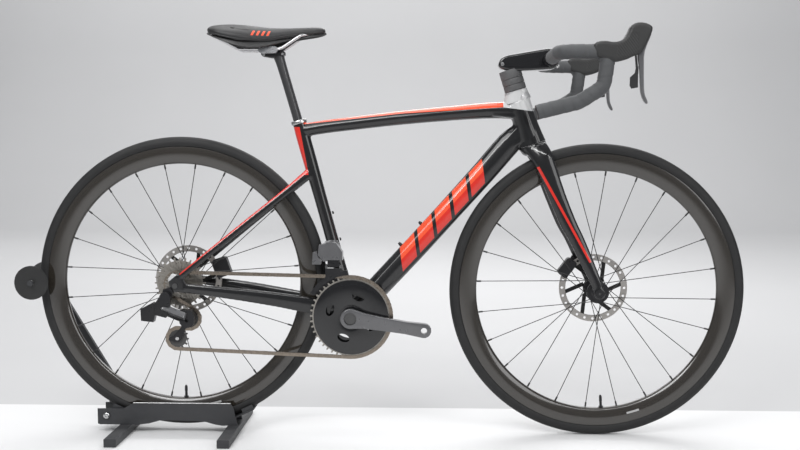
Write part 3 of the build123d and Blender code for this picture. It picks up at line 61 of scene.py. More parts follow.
FRONT_AXLE = pivot("front_wheel_spin")
REAR_AXLE = pivot("rear_wheel_spin")
CRANK_AXIS = pivot("crank_spin")
STEERING_BASE = pivot("steering_turn")
STEERING_AXIS = Vector(JOINTS["steering_turn"]["axis"])
GUIDE = pivot("guide_pulley_spin")
TENSION = pivot("tension_pulley_spin")
ROLLER = pivot("stand_roller_spin")
LEVER = pivot("brake_lever_left_pull")
SIDES = {"left": 1, "right": -1}


# ---------------------------------------------------------------- modelling by hand, in code

def start_clean():
    """Leaves edit mode and deselects everything."""
    if bpy.context.object and bpy.context.object.mode != "OBJECT":
        bpy.ops.object.mode_set(mode="OBJECT")
    bpy.ops.object.select_all(action="DESELECT")


def take_up(piece):
    """Makes one object the active and only selected one."""
    start_clean()
    piece.select_set(True)
    bpy.context.view_layer.objects.active = piece
    return piece


def leave_edit(name):
    """Returns to object mode and names the piece just modelled."""
    bpy.ops.object.mode_set(mode="OBJECT")
    piece = bpy.context.object
    piece.name = name
    piece.data.name = name
    return piece


def tidy_normals():
    """Merges doubles, then turns every face outwards."""
    bpy.ops.mesh.select_all(action="SELECT")
    bpy.ops.mesh.remove_doubles(threshold=0.00001)
    bpy.ops.mesh.normals_make_consistent(inside=False)


def lofted(name, stations, sides=32):
    """Closed tube through elliptical stations: x, y, z, width across, depth, lean from upright."""
    start_clean()
    x, y, z, width, depth, lean = stations[0]
    bpy.ops.mesh.primitive_circle_add(vertices=sides, radius=0.5, fill_type="NGON", enter_editmode=True)
    bpy.ops.transform.resize(value=(depth, width, 1), center_override=(0, 0, 0))
    # Without a window a turn runs the other way, hence the minus.
    bpy.ops.transform.rotate(value=-math.radians(lean), orient_axis="Y", center_override=(0, 0, 0))
    bpy.ops.transform.translate(value=(x, y, z))
    for before, after in zip(stations, stations[1:]):
        step = tuple(after[i] - before[i] for i in range(3))
        bpy.ops.mesh.extrude_region_move(TRANSFORM_OT_translate={"value": step})
        wider = after[3] / before[3]
        deeper = after[4] / before[4]
        bpy.ops.transform.resize(value=(deeper, wider, deeper), center_override=after[:3])
        if after[5] != before[5]:
            turn = -math.radians(after[5] - before[5])
            bpy.ops.transform.rotate(value=turn, orient_axis="Y", center_override=after[:3])
    tidy_normals()
    return leave_edit(name)


def in_between(stations, count):
    """More stations on a smooth curve through the given ones."""
    result = []
    last = len(stations) - 1
    for index in range(last):
        before = stations[max(index - 1, 0)]
        start = stations[index]
        end = stations[index + 1]
        after = stations[min(index + 2, last)]
        for part in range(count):
            t = part / count
            result.append(tuple(
                0.5 * (
                    2 * b + (c - a) * t + (2 * a - 5 * b + 4 * c - d) * t * t
                    + (3 * b - a - 3 * c + d) * t ** 3
                )
                for a, b, c, d in zip(before, start, end, after)
            ))
    result.append(tuple(stations[-1]))
    return result


def draw_line(points):
    """Enters edit mode on a new mesh with one open line through the points."""
    start_clean()
    bpy.ops.mesh.primitive_plane_add(size=0.001, enter_editmode=True)
    bpy.ops.mesh.merge(type="CENTER")
    bpy.ops.transform.translate(value=points[0])
    for before, after in zip(points, points[1:]):
        step = tuple(b - a for a, b in zip(before, after))
        bpy.ops.mesh.extrude_region_move(TRANSFORM_OT_translate={"value": step})


def close_line():
    """Joins the two ends of the line in edit mode."""
    mesh = bpy.context.object.data
    shape = bmesh.from_edit_mesh(mesh)
    shape.verts.ensure_lookup_table()
    ends = {0, len(shape.verts) - 1}
    for vertex in shape.verts:
        vertex.select = vertex.index in ends
    for edge in shape.edges:
        edge.select = False
    bmesh.update_edit_mesh(mesh)
    bpy.ops.mesh.edge_face_add()


def turned(name, centre, profile, steps=128, closed=True):
    """Turned on a lathe about an axle: profile points are (radius, y)."""
    draw_line([(centre.x + radius, y, centre.z) for radius, y in profile])
    if closed:
        close_line()
    bpy.ops.mesh.select_all(action="SELECT")
    bpy.ops.mesh.spin(steps=steps, angle=2 * math.pi, center=tuple(centre), axis=(0, 1, 0))
    tidy_normals()
    return leave_edit(name)


def slab(name, outline, y_low, y_high):
    """Flat plate with an outline in the side view: points are (x, z)."""
    draw_line([(x, y_low, z) for x, z in outline])
    bpy.ops.mesh.select_all(action="SELECT")
    bpy.ops.mesh.edge_face_add()
    bpy.ops.mesh.select_all(action="SELECT")
    bpy.ops.mesh.extrude_region_move(TRANSFORM_OT_translate={"value": (0, y_high - y_low, 0)})
    tidy_normals()
    return leave_edit(name)


def peg(name, centre, radius, y_low, y_high, sides=32):
    """Round pin across the bicycle, with eased rims."""
    ease = min(0.0004, radius * 0.2)
    x, z = centre[0], centre[-1]
    profile = [
        (0.00002, y_low), (radius - ease, y_low), (radius, y_low + ease), (radius, y_high - ease),
        (radius - ease, y_high), (0.00002, y_high),
    ]
    return turned(name, Vector((x, 0, z)), profile, steps=sides)


def apply_modifier(piece, kind, **settings):
    """Adds a modifier with these settings and applies it."""
    take_up(piece)
    modifier = piece.modifiers.new(kind.title(), kind)
    for key, value in settings.items():
        setattr(modifier, key, value)
    bpy.ops.object.modifier_apply(modifier=modifier.name)
    return piece


def eased(piece, width, segments=3, angle=30):
    """Rounds the sharp edges."""
    return apply_modifier(
        piece, "BEVEL", width=width, segments=segments, limit_method="ANGLE",
        angle_limit=math.radians(angle),
        harden_normals=False,
    )


def cut_with(piece, cutter, operation="DIFFERENCE"):
    """Cuts a shape out of a piece, and removes the cutter."""
    take_up(piece)
    modifier = piece.modifiers.new("Cut", "BOOLEAN")
    modifier.operation = operation
    modifier.object = cutter
    modifier.solver = "EXACT"
    bpy.ops.object.modifier_apply(modifier=modifier.name)
    bpy.data.objects.remove(cutter)
    return piece


def joined(name, pieces):
    """Joins pieces into one object."""
    take_up(pieces[0])
    for piece in pieces[1:]:
        piece.select_set(True)
    bpy.ops.object.join()
    piece = bpy.context.object
    piece.name = name
    piece.data.name = name
    return piece


def moulded(piece, voxel, rounds):
    """Melts overlapping shapes into one skin with soft junctions."""
    take_up(piece)
    piece.data.remesh_voxel_size = voxel
    piece.data.use_remesh_fix_poles = False
    bpy.ops.object.voxel_remesh()
    return apply_modifier(piece, "SMOOTH", factor=0.5, iterations=rounds)


def smooth(piece, angle=35):
    """Smooth shading, with edges sharper than the angle kept."""
    take_up(piece)
    bpy.ops.object.shade_smooth_by_angle(angle=math.radians(angle))
    return piece


def bent_rod(name, points, radius, sides=12):
    """Round rod along points, on a curve made a mesh."""
    start_clean()
    curve = bpy.data.curves.new(name, "CURVE")
    curve.dimensions = "3D"
    curve.bevel_depth = radius
    curve.bevel_resolution = sides // 4
    curve.use_fill_caps = True
    spline = curve.splines.new("POLY")
    spline.points.add(len(points) - 1)
    for index, point in enumerate(points):
        spline.points[index].co = (*point, 1)
    rod = bpy.data.objects.new(name, curve)
    bpy.context.scene.collection.objects.link(rod)
    take_up(rod)
    bpy.ops.object.convert(target="MESH")
    bpy.ops.object.mode_set(mode="EDIT")
    tidy_normals()
    return leave_edit(name)


def rounded_path(corners, radii, spacing):
    """Evenly spaced points along straight runs with rounded corners."""
    corners = [Vector(corner) for corner in corners]
    dense = [corners[0]]
    for index, radius in enumerate(radii, start=1):
        corner = corners[index]
        back = (corners[index - 1] - corner).normalized()
        ahead = (corners[index + 1] - corner).normalized()
        half = back.angle(ahead) / 2
        reach = radius / math.tan(half)
        middle = corner + (back + ahead).normalized() * (radius / math.sin(half))
        start = corner + back * reach
        end = corner + ahead * reach
        for part in range(13):
            spot = start.lerp(end, part / 12)
            dense.append(middle + (spot - middle).normalized() * radius)
    dense.append(corners[-1])
    points = [dense[0]]
    left_over = 0.0
    for start, end in zip(dense, dense[1:]):
        length = (end - start).length
        travelled = spacing - left_over
        while travelled < length:
            points.append(start.lerp(end, travelled / length))
            travelled += spacing
        left_over = length - (travelled - spacing)
    points.append(dense[-1])
    return points


def place(piece, body, finish, replaces=()):
    """Gives a finished piece its material and body, and hides the CAD nodes that it stands for."""
    piece.data.materials.clear()
    piece.data.materials.append(finish)
    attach(piece, body)
    if replaces:
        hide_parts(*replaces)
    return piece


# ---------------------------------------------------------------- finishes

GROUPS = {}


def shared_group(name, inputs, outputs):
    """New shader node group with named sockets; inputs are (name, kind, default)."""
    tree = bpy.data.node_groups.new(name, "ShaderNodeTree")
    for label, kind, default in inputs:
        socket = tree.interface.new_socket(label, in_out="INPUT", socket_type=f"NodeSocket{kind}")
        if default is not None:
            socket.default_value = default
    for label, kind in outputs:
        tree.interface.new_socket(label, in_out="OUTPUT", socket_type=f"NodeSocket{kind}")
    GROUPS[name] = tree
    return tree


class Bench:
    """Small helper that adds and wires nodes in one tree."""

    def __init__(self, tree):
        self.tree = tree
        self.column = 0

    def node(self, kind, settings=None, **inputs):
        made = self.tree.nodes.new(kind)
        self.column += 1
        made.location = (-1600 + self.column * 60, -self.column * 25)
        for key, value in (settings or {}).items():
            setattr(made, key, value)
        for key, value in inputs.items():
            by_number = key[0] == "i" and key[1:].isdigit()
            self.feed(made.inputs[int(key[1:]) if by_number else key], value)
        return made

    def feed(self, socket, value):
        if isinstance(value, bpy.types.NodeSocket):
            self.tree.links.new(value, socket)
        else:
            socket.default_value = value

    def maths(self, operation, a, b=0.0, clamp=False):
        return self.node("ShaderNodeMath", {"operation": operation, "use_clamp": clamp}, i0=a,
                         i1=b).outputs[0]

    def vector(self, operation, a, b=(0, 0, 0)):
        made = self.node("ShaderNodeVectorMath", {"operation": operation}, i0=a, i1=b)
        return made.outputs["Value"] if operation in ("DOT_PRODUCT", "LENGTH",
                                                      "DISTANCE") else made.outputs[0]

    def spread(self, value, low, high, to_low=0.0, to_high=1.0, smooth_step=False):
        kind = "SMOOTHSTEP" if smooth_step else "LINEAR"
        made = self.node("ShaderNodeMapRange", {"interpolation_type": kind, "clamp": True})
        for index, item in enumerate((value, low, high, to_low, to_high)):
            self.feed(made.inputs[index], item)
        return made.outputs[0]

    def blend(self, amount, first, second):
        made = self.node("ShaderNodeMix", {"data_type": "RGBA"})
        self.feed(made.inputs[0], amount)
        self.feed(made.inputs[6], first)
        self.feed(made.inputs[7], second)
        return made.outputs[2]

    def shared(self, name, **inputs):
        made = self.tree.nodes.new("ShaderNodeGroup")
        made.node_tree = GROUPS[name]
        self.column += 1
        made.location = (-1600 + self.column * 60, -self.column * 25)
        for key, value in inputs.items():
            self.feed(made.inputs[key.replace("_", " ")], value)
        return made


def make_groups():
    """The effects that several finishes share."""
    tree = shared_group(
        "Soft mottling", [("Vector", "Vector", None), ("Scale", "Float", 60.0), ("Amount", "Float", 0.3)],
        [("Mask", "Float")],
    )
    bench = Bench(tree)
    entry = tree.nodes.new("NodeGroupInput")
    leave = tree.nodes.new("NodeGroupOutput")
    cloud = bench.node("ShaderNodeTexNoise", Vector=entry.outputs["Vector"], Scale=entry.outputs["Scale"],
                       Detail=4.0)
    centred = bench.maths("SUBTRACT", cloud.outputs["Fac"], 0.5)
    bench.feed(leave.inputs["Mask"], bench.maths("MULTIPLY", centred, entry.outputs["Amount"]))

    tree = shared_group(
        "Fine grain", [("Vector", "Vector", None), ("Scale", "Float", 900.0)], [("Height", "Float")],
    )
    bench = Bench(tree)
    entry = tree.nodes.new("NodeGroupInput")
    leave = tree.nodes.new("NodeGroupOutput")
    coarse = bench.node("ShaderNodeTexNoise", Vector=entry.outputs["Vector"],
                        Scale=entry.outputs["Scale"], Detail=3.0)
    pores = bench.node("ShaderNodeTexVoronoi", Vector=entry.outputs["Vector"], Scale=entry.outputs["Scale"])
    both = bench.maths("MULTIPLY", coarse.outputs["Fac"], pores.outputs["Distance"])
    bench.feed(leave.inputs["Height"], both)

    tree = shared_group(
        "Side of a line",
        [
            ("Vector", "Vector", None), ("Point", "Vector", None), ("Facing", "Vector", None),
            ("Softness", "Float", 0.0005),
        ],
        [("Mask", "Float")],
    )
    bench = Bench(tree)
    entry = tree.nodes.new("NodeGroupInput")
    leave = tree.nodes.new("NodeGroupOutput")
    apart = bench.vector("SUBTRACT", entry.outputs["Vector"], entry.outputs["Point"])
    ahead = bench.vector("DOT_PRODUCT", apart, entry.outputs["Facing"])
    scaled = bench.maths("DIVIDE", ahead, entry.outputs["Softness"])
    bench.feed(leave.inputs["Mask"], bench.spread(scaled, -0.5, 0.5, smooth_step=True))

    tree = shared_group(
        "Brush marks", [("Vector", "Vector", None), ("Stretch", "Vector", None)], [("Mask", "Float")],
    )
    bench = Bench(tree)
    entry = tree.nodes.new("NodeGroupInput")
    leave = tree.nodes.new("NodeGroupOutput")
    pulled = bench.vector("MULTIPLY", entry.outputs["Vector"], entry.outputs["Stretch"])
    streaks = bench.node("ShaderNodeTexNoise", Vector=pulled, Scale=1.0, Detail=3.0)
    bench.feed(leave.inputs["Mask"], streaks.outputs["Fac"])

    tree = shared_group(
        "Settled dust",
        [("Vector", "Vector", None), ("Base", "Color", None), ("Dust", "Color", None),
         ("Amount", "Float", 0.1)],
        [("Color", "Color"), ("Mask", "Float")],
    )
    bench = Bench(tree)
    entry = tree.nodes.new("NodeGroupInput")
    leave = tree.nodes.new("NodeGroupOutput")
    patches = bench.node("ShaderNodeTexNoise", Vector=entry.outputs["Vector"], Scale=35.0, Detail=6.0)
    facing = bench.node("ShaderNodeNewGeometry")
    up = bench.node("ShaderNodeSeparateXYZ", Vector=facing.outputs["Normal"])
    upward = bench.spread(up.outputs["Z"], 0.2, 1.0, 0.25, 1.0)
    patchy = bench.spread(patches.outputs["Fac"], 0.4, 0.75)
    mask = bench.maths("MULTIPLY", bench.maths("MULTIPLY", patchy, upward), entry.outputs["Amount"])
    bench.feed(leave.inputs["Color"], bench.blend(mask, entry.outputs["Base"], entry.outputs["Dust"]))
    bench.feed(leave.inputs["Mask"], mask)

    tree = shared_group(
        "Twill", [("Vector", "Vector", None), ("Pitch", "Float", 0.003)], [("Mask", "Float")],
    )
    bench = Bench(tree)
    entry = tree.nodes.new("NodeGroupInput")
    leave = tree.nodes.new("NodeGroupOutput")
    axes = bench.node("ShaderNodeSeparateXYZ", Vector=entry.outputs["Vector"])
    rising = bench.maths("ADD", axes.outputs["X"], axes.outputs["Z"])
    falling = bench.maths("SUBTRACT", axes.outputs["X"], axes.outputs["Z"])
    strands = []
    for run in (rising, falling):
        turns = bench.maths("MULTIPLY", bench.maths("DIVIDE", run, entry.outputs["Pitch"]), math.tau)
        strands.append(bench.maths("SINE", turns))
    woven = bench.maths("MULTIPLY", strands[0], strands[1])
    bench.feed(leave.inputs["Mask"], bench.spread(woven, -1.0, 1.0))


def finish(name, colour, roughness, metallic=0.0, coat=0.0, dust=0.08, mottle=0.1, grain=None, brush=None,
           bump=0.15,
           paint=None, sheen=0.0, mottle_scale=60.0, specular=0.5):
    """One procedural material. paint is a function that adds coloured areas: it takes the bench, the object
    coordinates and a colour, and returns a colour."""
    material = bpy.data.materials.new(name)
    material.use_nodes = True
    tree = material.node_tree
    surface = tree.nodes["Principled BSDF"]
    bench = Bench(tree)
    where = bench.node("ShaderNodeTexCoord").outputs["Object"]
    colour = (*colour, 1.0)
    tone = bench.shared("Soft mottling", Vector=where, Scale=mottle_scale, Amount=mottle)
    darker = tuple(channel * 0.55 for channel in colour[:3]) + (1.0,)
    lighter = tuple(min(channel * 1.5 + 0.004, 1.0) for channel in colour[:3]) + (1.0,)
    shade = bench.blend(bench.maths("ADD", tone.outputs["Mask"], 0.45, clamp=True), darker, lighter)
    if paint:
        shade = paint(bench, where, shade)
    dusty = bench.shared("Settled dust", Vector=where, Base=shade, Dust=(0.42, 0.4, 0.37, 1.0), Amount=dust)
    bench.feed(surface.inputs["Base Color"], dusty.outputs["Color"])
    rough = bench.maths("ADD", bench.maths("MULTIPLY", tone.outputs["Mask"], 0.35), roughness)
    rough = bench.maths("ADD", rough, bench.maths("MULTIPLY", dusty.outputs["Mask"], 0.5), clamp=True)
    height = None
    if brush:
        marks = bench.shared("Brush marks", Vector=where, Stretch=brush)
        rough = bench.maths("ADD", rough, bench.spread(marks.outputs["Mask"], 0.3, 0.7, -0.09, 0.09),
                            clamp=True)
        height = marks.outputs["Mask"]
    if grain:
        height = bench.shared("Fine grain", Vector=where, Scale=grain).outputs["Height"]
    bench.feed(surface.inputs["Roughness"], rough)
    if height is not None:
        relief = bench.node("ShaderNodeBump", Height=height)
        relief.inputs["Strength"].default_value = bump
        relief.inputs["Distance"].default_value = 0.0004
        bench.feed(surface.inputs["Normal"], relief.outputs["Normal"])
    surface.inputs["Metallic"].default_value = metallic
    surface.inputs["Specular IOR Level"].default_value = specular
    surface.inputs["Coat Weight"].default_value = coat
    surface.inputs["Coat Roughness"].default_value = 0.05
    surface.inputs["Sheen Weight"].default_value = sheen
    return material


def area(bench, where, corners, softness=0.0006):
    """Mask of a convex area in the side view; corners are (x, z), anticlockwise."""
    mask = None
    for start, end in zip(corners, corners[1:] + corners[:1]):
        along = Vector((end[0] - start[0], 0, end[1] - start[1])).normalized()
        inward = (-along.z, 0, along.x)
        side = bench.shared(
            "Side of a line", Vector=where, Point=(start[0], 0, start[1]), Facing=inward, Softness=softness,
        ).outputs["Mask"]
        mask = side if mask is None else bench.maths("MULTIPLY", mask, side)
    return mask


def frame_paint(bench, where, shade):
    """Coloured stripes and panels, and the bare metal flashes, over black carbon."""
    colours = bpy.context.scene.bicycle_colours
    orange = (*colours.orange, 1.0)
    red = (*colours.red, 1.0)
    silver = (*colours.silver, 1.0)
    weave = bench.shared("Twill", Vector=where, Pitch=0.0042)
    shade = bench.blend(bench.maths("MULTIPLY", weave.outputs["Mask"], 0.35), shade,
                        (0.016, 0.016, 0.018, 1.0))
    rear_stripe = [(-0.172, 0.7225), (0.053, 0.7465), (0.053, 0.78), (-0.172, 0.75)]
    shade = bench.blend(area(bench, where, rear_stripe), shade, orange)
    front_stripe = [(0.053, 0.7465), (0.286, 0.7605), (0.300, 0.79), (0.053, 0.78)]
    shade = bench.blend(area(bench, where, front_stripe), shade, orange)
    head_flash = [(0.286, 0.7605), (0.345, 0.752), (0.370, 0.752), (0.370, 0.84), (0.286, 0.84)]
    shade = bench.blend(area(bench, where, head_flash), shade, silver)
    for corners, tint in DOWN_TUBE_GRAPHIC:
        shade = bench.blend(area(bench, where, corners), shade, orange if tint == "orange" else red)
    stay_stripe = [(-0.4485, 0.3801), (-0.1605, 0.6141), (-0.176, 0.634), (-0.464, 0.400)]
    shade = bench.blend(area(bench, where, stay_stripe), shade, red)
    seat_stripe = [(-0.190, 0.606), (-0.1605, 0.606), (-0.1805, 0.716), (-0.215, 0.716)]
    shade = bench.blend(area(bench, where, seat_stripe), shade, red)
    tail_flash = [(-0.49, 0.352), (-0.44, 0.393), (-0.449, 0.403), (-0.50, 0.362)]
    return bench.blend(area(bench, where, tail_flash), shade, silver)


DOWN_TUBE_GRAPHIC = []


def down_tube_marks():
    """Slanted panels along the down tube: an orange upper facet and a red lower one on each."""
    low = Vector((0.054, 0.408))
    high = Vector((0.246, 0.617))
    run = (high - low).normalized()
    across = Vector((-run.y, run.x))
    panels = ((0.0, 0.048), (0.059, 0.107), (0.118, 0.166), (0.177, 0.223), (0.234, 0.278))
    for start, end in panels:
        slant = 0.014
        for tint, bottom, top in (("orange", 0.002, 0.0235), ("red", -0.0195, 0.002)):
            corners = []
            for distance, height in ((start, bottom), (end, bottom), (end, top), (start, top)):
                spot = low + run * (distance + slant * (height / 0.017)) + across * height
                corners.append((spot.x, spot.y))
            DOWN_TUBE_GRAPHIC.append((corners, tint))


def fork_paint(bench, where, shade):
    """A thin stripe down the outside of each fork leg."""
    red = (*bpy.context.scene.bicycle_colours.red, 1.0)
    weave = bench.shared("Twill", Vector=where, Pitch=0.0042)
    shade = bench.blend(bench.maths("MULTIPLY", weave.outputs["Mask"], 0.35), shade,
                        (0.016, 0.016, 0.018, 1.0))
    stripe = [(0.3612, 0.6240), (0.4795, 0.4095), (0.4845, 0.4115), (0.3668, 0.6262)]
    return bench.blend(area(bench, where, stripe), shade, red)


def saddle_marks(bench, where, shade):
    """Four short slanted marks on the flank of the saddle."""
    orange = (*bpy.context.scene.bicycle_colours.orange, 1.0)
    for start in (-0.284, -0.273, -0.262, -0.251):
        mark = [(start, 0.9205), (start + 0.005, 0.9205), (start + 0.009, 0.9315), (start + 0.004, 0.9315)]
        shade = bench.blend(area(bench, where, mark), shade, orange)
    return shade


def rim_paint(centre, valve_angle):
    """Warm gloss carbon with a ring of small plain panels."""
    def paint(bench, where, shade):
        apart = bench.vector("SUBTRACT", where, tuple(centre))
        axes = bench.node("ShaderNodeSeparateXYZ", Vector=apart)
        angle = bench.maths("ARCTAN2", axes.outputs["Z"], axes.outputs["X"])
        radius = bench.vector("LENGTH", apart)
        weave = bench.maths("SINE", bench.maths("MULTIPLY", angle, 480.0))
        cross = bench.maths("SINE", bench.maths("MULTIPLY", radius, 1500.0))
        woven = bench.spread(bench.maths("MULTIPLY", weave, cross), -1.0, 1.0, 0.0, 0.4)
        shade = bench.blend(woven, shade, (0.05, 0.043, 0.034, 1.0))
        off_valve = bench.maths("SUBTRACT", angle, math.radians(valve_angle + 14.0))
        near = bench.maths("LESS_THAN", bench.maths("ABSOLUTE", off_valve), 0.05)
        band = bench.maths("LESS_THAN", bench.maths("ABSOLUTE", bench.maths("SUBTRACT", radius, 0.296)),
                           0.0022)
        mark = bench.maths("MULTIPLY", near, band)
        return bench.blend(bench.maths("MULTIPLY", mark, 0.8), shade, (0.5, 0.5, 0.5, 1.0))
    return paint


def ring_paint(centre, radius_from, radius_to, ring_colour):
    """One round band of another metal on a flat part."""
    def paint(bench, where, shade):
        apart = bench.vector("SUBTRACT", where, tuple(centre))
        flat = bench.vector("MULTIPLY", apart, (1.0, 0.0, 1.0))
        radius = bench.vector("LENGTH", flat)
        inner = bench.spread(radius, radius_from - 0.0003, radius_from + 0.0003)
        outer = bench.spread(radius, radius_to - 0.0003, radius_to + 0.0003, 1.0, 0.0)
        return bench.blend(bench.maths("MULTIPLY", inner, outer), shade, (*ring_colour, 1.0))
    return paint


FINISHES = {}
RING_STEEL = (0.42, 0.40, 0.38)


def make_finishes(colours):
    """One material for each finish, by its short name."""
    black = colours.carbon
    FINISHES.update({
        "carbon": finish("Lacquered carbon", black, 0.3, coat=1.0, dust=0.006, paint=frame_paint,
                         mottle=0.15, specular=0.15),
        "fork": finish("Lacquered fork carbon", black, 0.3, coat=1.0, dust=0.006, paint=fork_paint,
                       mottle=0.15, specular=0.15),
        "flash": finish("Bare metal lacquer", (0.46, 0.46, 0.465), 0.32, metallic=0.35, coat=0.6, dust=0.01,
                        brush=(60, 900, 60), bump=0.05),
        "spacer": finish("Grey spacer resin", (0.085, 0.085, 0.087), 0.5, dust=0.01, mottle=0.4,
                         grain=1400.0, bump=0.3),
        "post": finish("Satin post carbon", (0.024, 0.024, 0.026), 0.42, coat=0.3, dust=0.02, mottle=0.15),
        "front_rim": finish("Front rim carbon", colours.rim, 0.2, coat=1.0, dust=0.012,
                            paint=rim_paint(FRONT_AXLE, -86.6)),
        "rear_rim": finish("Rear rim carbon", colours.rim, 0.2, coat=1.0, dust=0.012,
                           paint=rim_paint(REAR_AXLE, -89.4)),
        "tyre": finish("Slick tyre rubber", colours.tyre, 0.6, dust=0.03, mottle=0.35, grain=1400.0,
                       bump=0.35, specular=0.3),
        "rubber": finish("Hood rubber", (0.014, 0.014, 0.014), 0.5, dust=0.02, mottle=0.3, grain=1800.0,
                         bump=0.4),
        "tape": finish("Grey bar tape", colours.tape, 0.66, dust=0.02, mottle=0.5, grain=1500.0, bump=0.6,
                       sheen=0.1),
        "saddle": finish("Saddle cover", (0.013, 0.013, 0.014), 0.45, dust=0.03, mottle=0.3, grain=1300.0,
                         bump=0.3, paint=saddle_marks),
        "shell": finish("Moulded black shell", (0.016, 0.016, 0.017), 0.4, dust=0.03, mottle=0.2,
                        grain=1100.0, bump=0.15),
        "black_alloy": finish("Black anodised alloy", (0.022, 0.022, 0.024), 0.33, metallic=0.5, dust=0.03,
                              brush=(60, 900, 60), bump=0.08),
        "gloss_black": finish("Gloss black lacquer", (0.006, 0.006, 0.007), 0.2, coat=1.0, dust=0.004,
                              specular=0.2),
        "grey_alloy": finish("Grey anodised alloy", colours.grey, 0.34, metallic=0.5, coat=0.5, dust=0.01,
                             brush=(80, 700, 80), bump=0.08, mottle=0.25),
        "silver": finish("Brushed silver alloy", colours.silver, 0.28, metallic=1.0, dust=0.04,
                         brush=(40, 1200, 1200), bump=0.12),
        "spoke": finish("Black steel spoke", (0.012, 0.012, 0.012), 0.4, dust=0.02, brush=(900, 60, 900)),
        "chain": finish("Oiled chain steel", colours.chain, 0.3, metallic=1.0, dust=0.18, mottle=0.7,
                        mottle_scale=180.0, brush=(500, 900, 500), bump=0.1),
        "cassette": finish("Cassette steel", (0.34, 0.32, 0.29), 0.36, metallic=0.7, dust=0.04,
                           mottle=0.6, mottle_scale=150.0, brush=(120, 1500, 120), bump=0.12),
        "front_rotor": finish("Front disc steel", (0.03, 0.03, 0.03), 0.35, metallic=0.9, dust=0.05,
                              brush=(700, 90, 700),
                              paint=ring_paint(FRONT_AXLE, 0.0655, 0.081, RING_STEEL)),
        "rear_rotor": finish("Rear disc steel", (0.03, 0.03, 0.03), 0.35, metallic=0.9, dust=0.05,
                             brush=(700, 90, 700), paint=ring_paint(REAR_AXLE, 0.0655, 0.081, RING_STEEL)),
        "axle": finish("Axle steel", (0.12, 0.12, 0.12), 0.35, metallic=0.9, dust=0.06,
                       brush=(900, 80, 900)),
        "rail": finish("Saddle rail steel", (0.55, 0.55, 0.56), 0.3, metallic=1.0, dust=0.05,
                       brush=(90, 900, 900)),
        "pad": finish("Brake pad", (0.1, 0.085, 0.07), 0.6, metallic=0.5, dust=0.1, grain=900.0, bump=0.4),
        "pulley": finish("Pulley resin", (0.045, 0.045, 0.045), 0.45, dust=0.25, mottle=0.4, grain=800.0,
                         bump=0.2),
        "stand": finish("Stand powder coat", colours.stand, 0.5, dust=0.05, mottle=0.25, grain=1500.0,
                        bump=0.5),
        # Pale steel for the rods along the stand's plate edges: a painted highlight.
        "painted_edge_highlight": finish("Painted edge highlight steel", (0.45, 0.45, 0.45), 0.35, metallic=0.9, dust=0.1,
                            brush=(60, 900, 900)),
        "roller": finish("Roller resin", (0.016, 0.016, 0.016), 0.42, dust=0.04, mottle=0.3, grain=900.0,
                         bump=0.25),
        "cap": finish("Foot cap plastic", (0.018, 0.018, 0.018), 0.6, dust=0.15, grain=1200.0, bump=0.3),
        "bolt": finish("Bright bolt steel", (0.55, 0.55, 0.55), 0.25, metallic=1.0, dust=0.05,
                       brush=(800, 800, 800)),
    })


def dress(node, finish_name, edge=None):
    """Gives a CAD node its finish, and rounds its sharp edges with live modifiers where edge is its width."""
    piece = frame["nodes"][node]
    piece.data.materials.clear()
    piece.data.materials.append(FINISHES[finish_name])
    if edge:
        weld = piece.modifiers.new("Weld", "WELD")
        weld.merge_threshold = 0.00002
        bevel = piece.modifiers.new("Soft edges", "BEVEL")
        bevel.width = edge
        bevel.segments = 2
        bevel.limit_method = "ANGLE"
        bevel.angle_limit = math.radians(40)
        bevel.harden_normals = False
    return piece


# ---------------------------------------------------------------- sizes and colours

class BicycleColours(bpy.types.PropertyGroup):
    """Colours that a user would change."""
    carbon: bpy.props.FloatVectorProperty(
        name="Carbon", description="Frame and fork under the lacquer", subtype="COLOR", size=3,
        default=(0.006, 0.006, 0.0065), min=0, max=1,
    )
    orange: bpy.props.FloatVectorProperty(
        name="Orange", description="Top stripe and upper facets", subtype="COLOR", size=3,
        default=(0.80, 0.085, 0.03), min=0, max=1,
    )
    red: bpy.props.FloatVectorProperty(
        name="Red", description="Lower facets and thin stripes", subtype="COLOR", size=3,
        default=(0.62, 0.028, 0.018), min=0, max=1,
    )
    silver: bpy.props.FloatVectorProperty(
        name="Silver", description="Bare metal", subtype="COLOR", size=3, default=(0.55, 0.55, 0.55),
        min=0, max=1,
    )
    grey: bpy.props.FloatVectorProperty(
        name="Grey alloy", description="Cranks and derailleurs", subtype="COLOR", size=3,
        default=(0.13, 0.13, 0.135), min=0, max=1,
    )
    rim: bpy.props.FloatVectorProperty(
        name="Rims", description="Rim carbon under the lacquer", subtype="COLOR", size=3,
        default=(0.016, 0.013, 0.010), min=0, max=1,
    )
    tyre: bpy.props.FloatVectorProperty(
        name="Tyres", description="Tyre rubber", subtype="COLOR", size=3, default=(0.017, 0.017, 0.0175),
        min=0, max=1,
    )
    tape: bpy.props.FloatVectorProperty(
        name="Bar tape", description="Tape round the handlebar", subtype="COLOR", size=3,
        default=(0.055, 0.057, 0.06), min=0, max=1,
    )
    chain: bpy.props.FloatVectorProperty(
        name="Chain", description="Chain steel", subtype="COLOR", size=3, default=(0.27, 0.23, 0.19),
        min=0, max=1,
    )
    stand: bpy.props.FloatVectorProperty(
        name="Stand", description="Powder coat of the stand", subtype="COLOR", size=3,
        default=(0.03, 0.031, 0.034), min=0, max=1,
    )


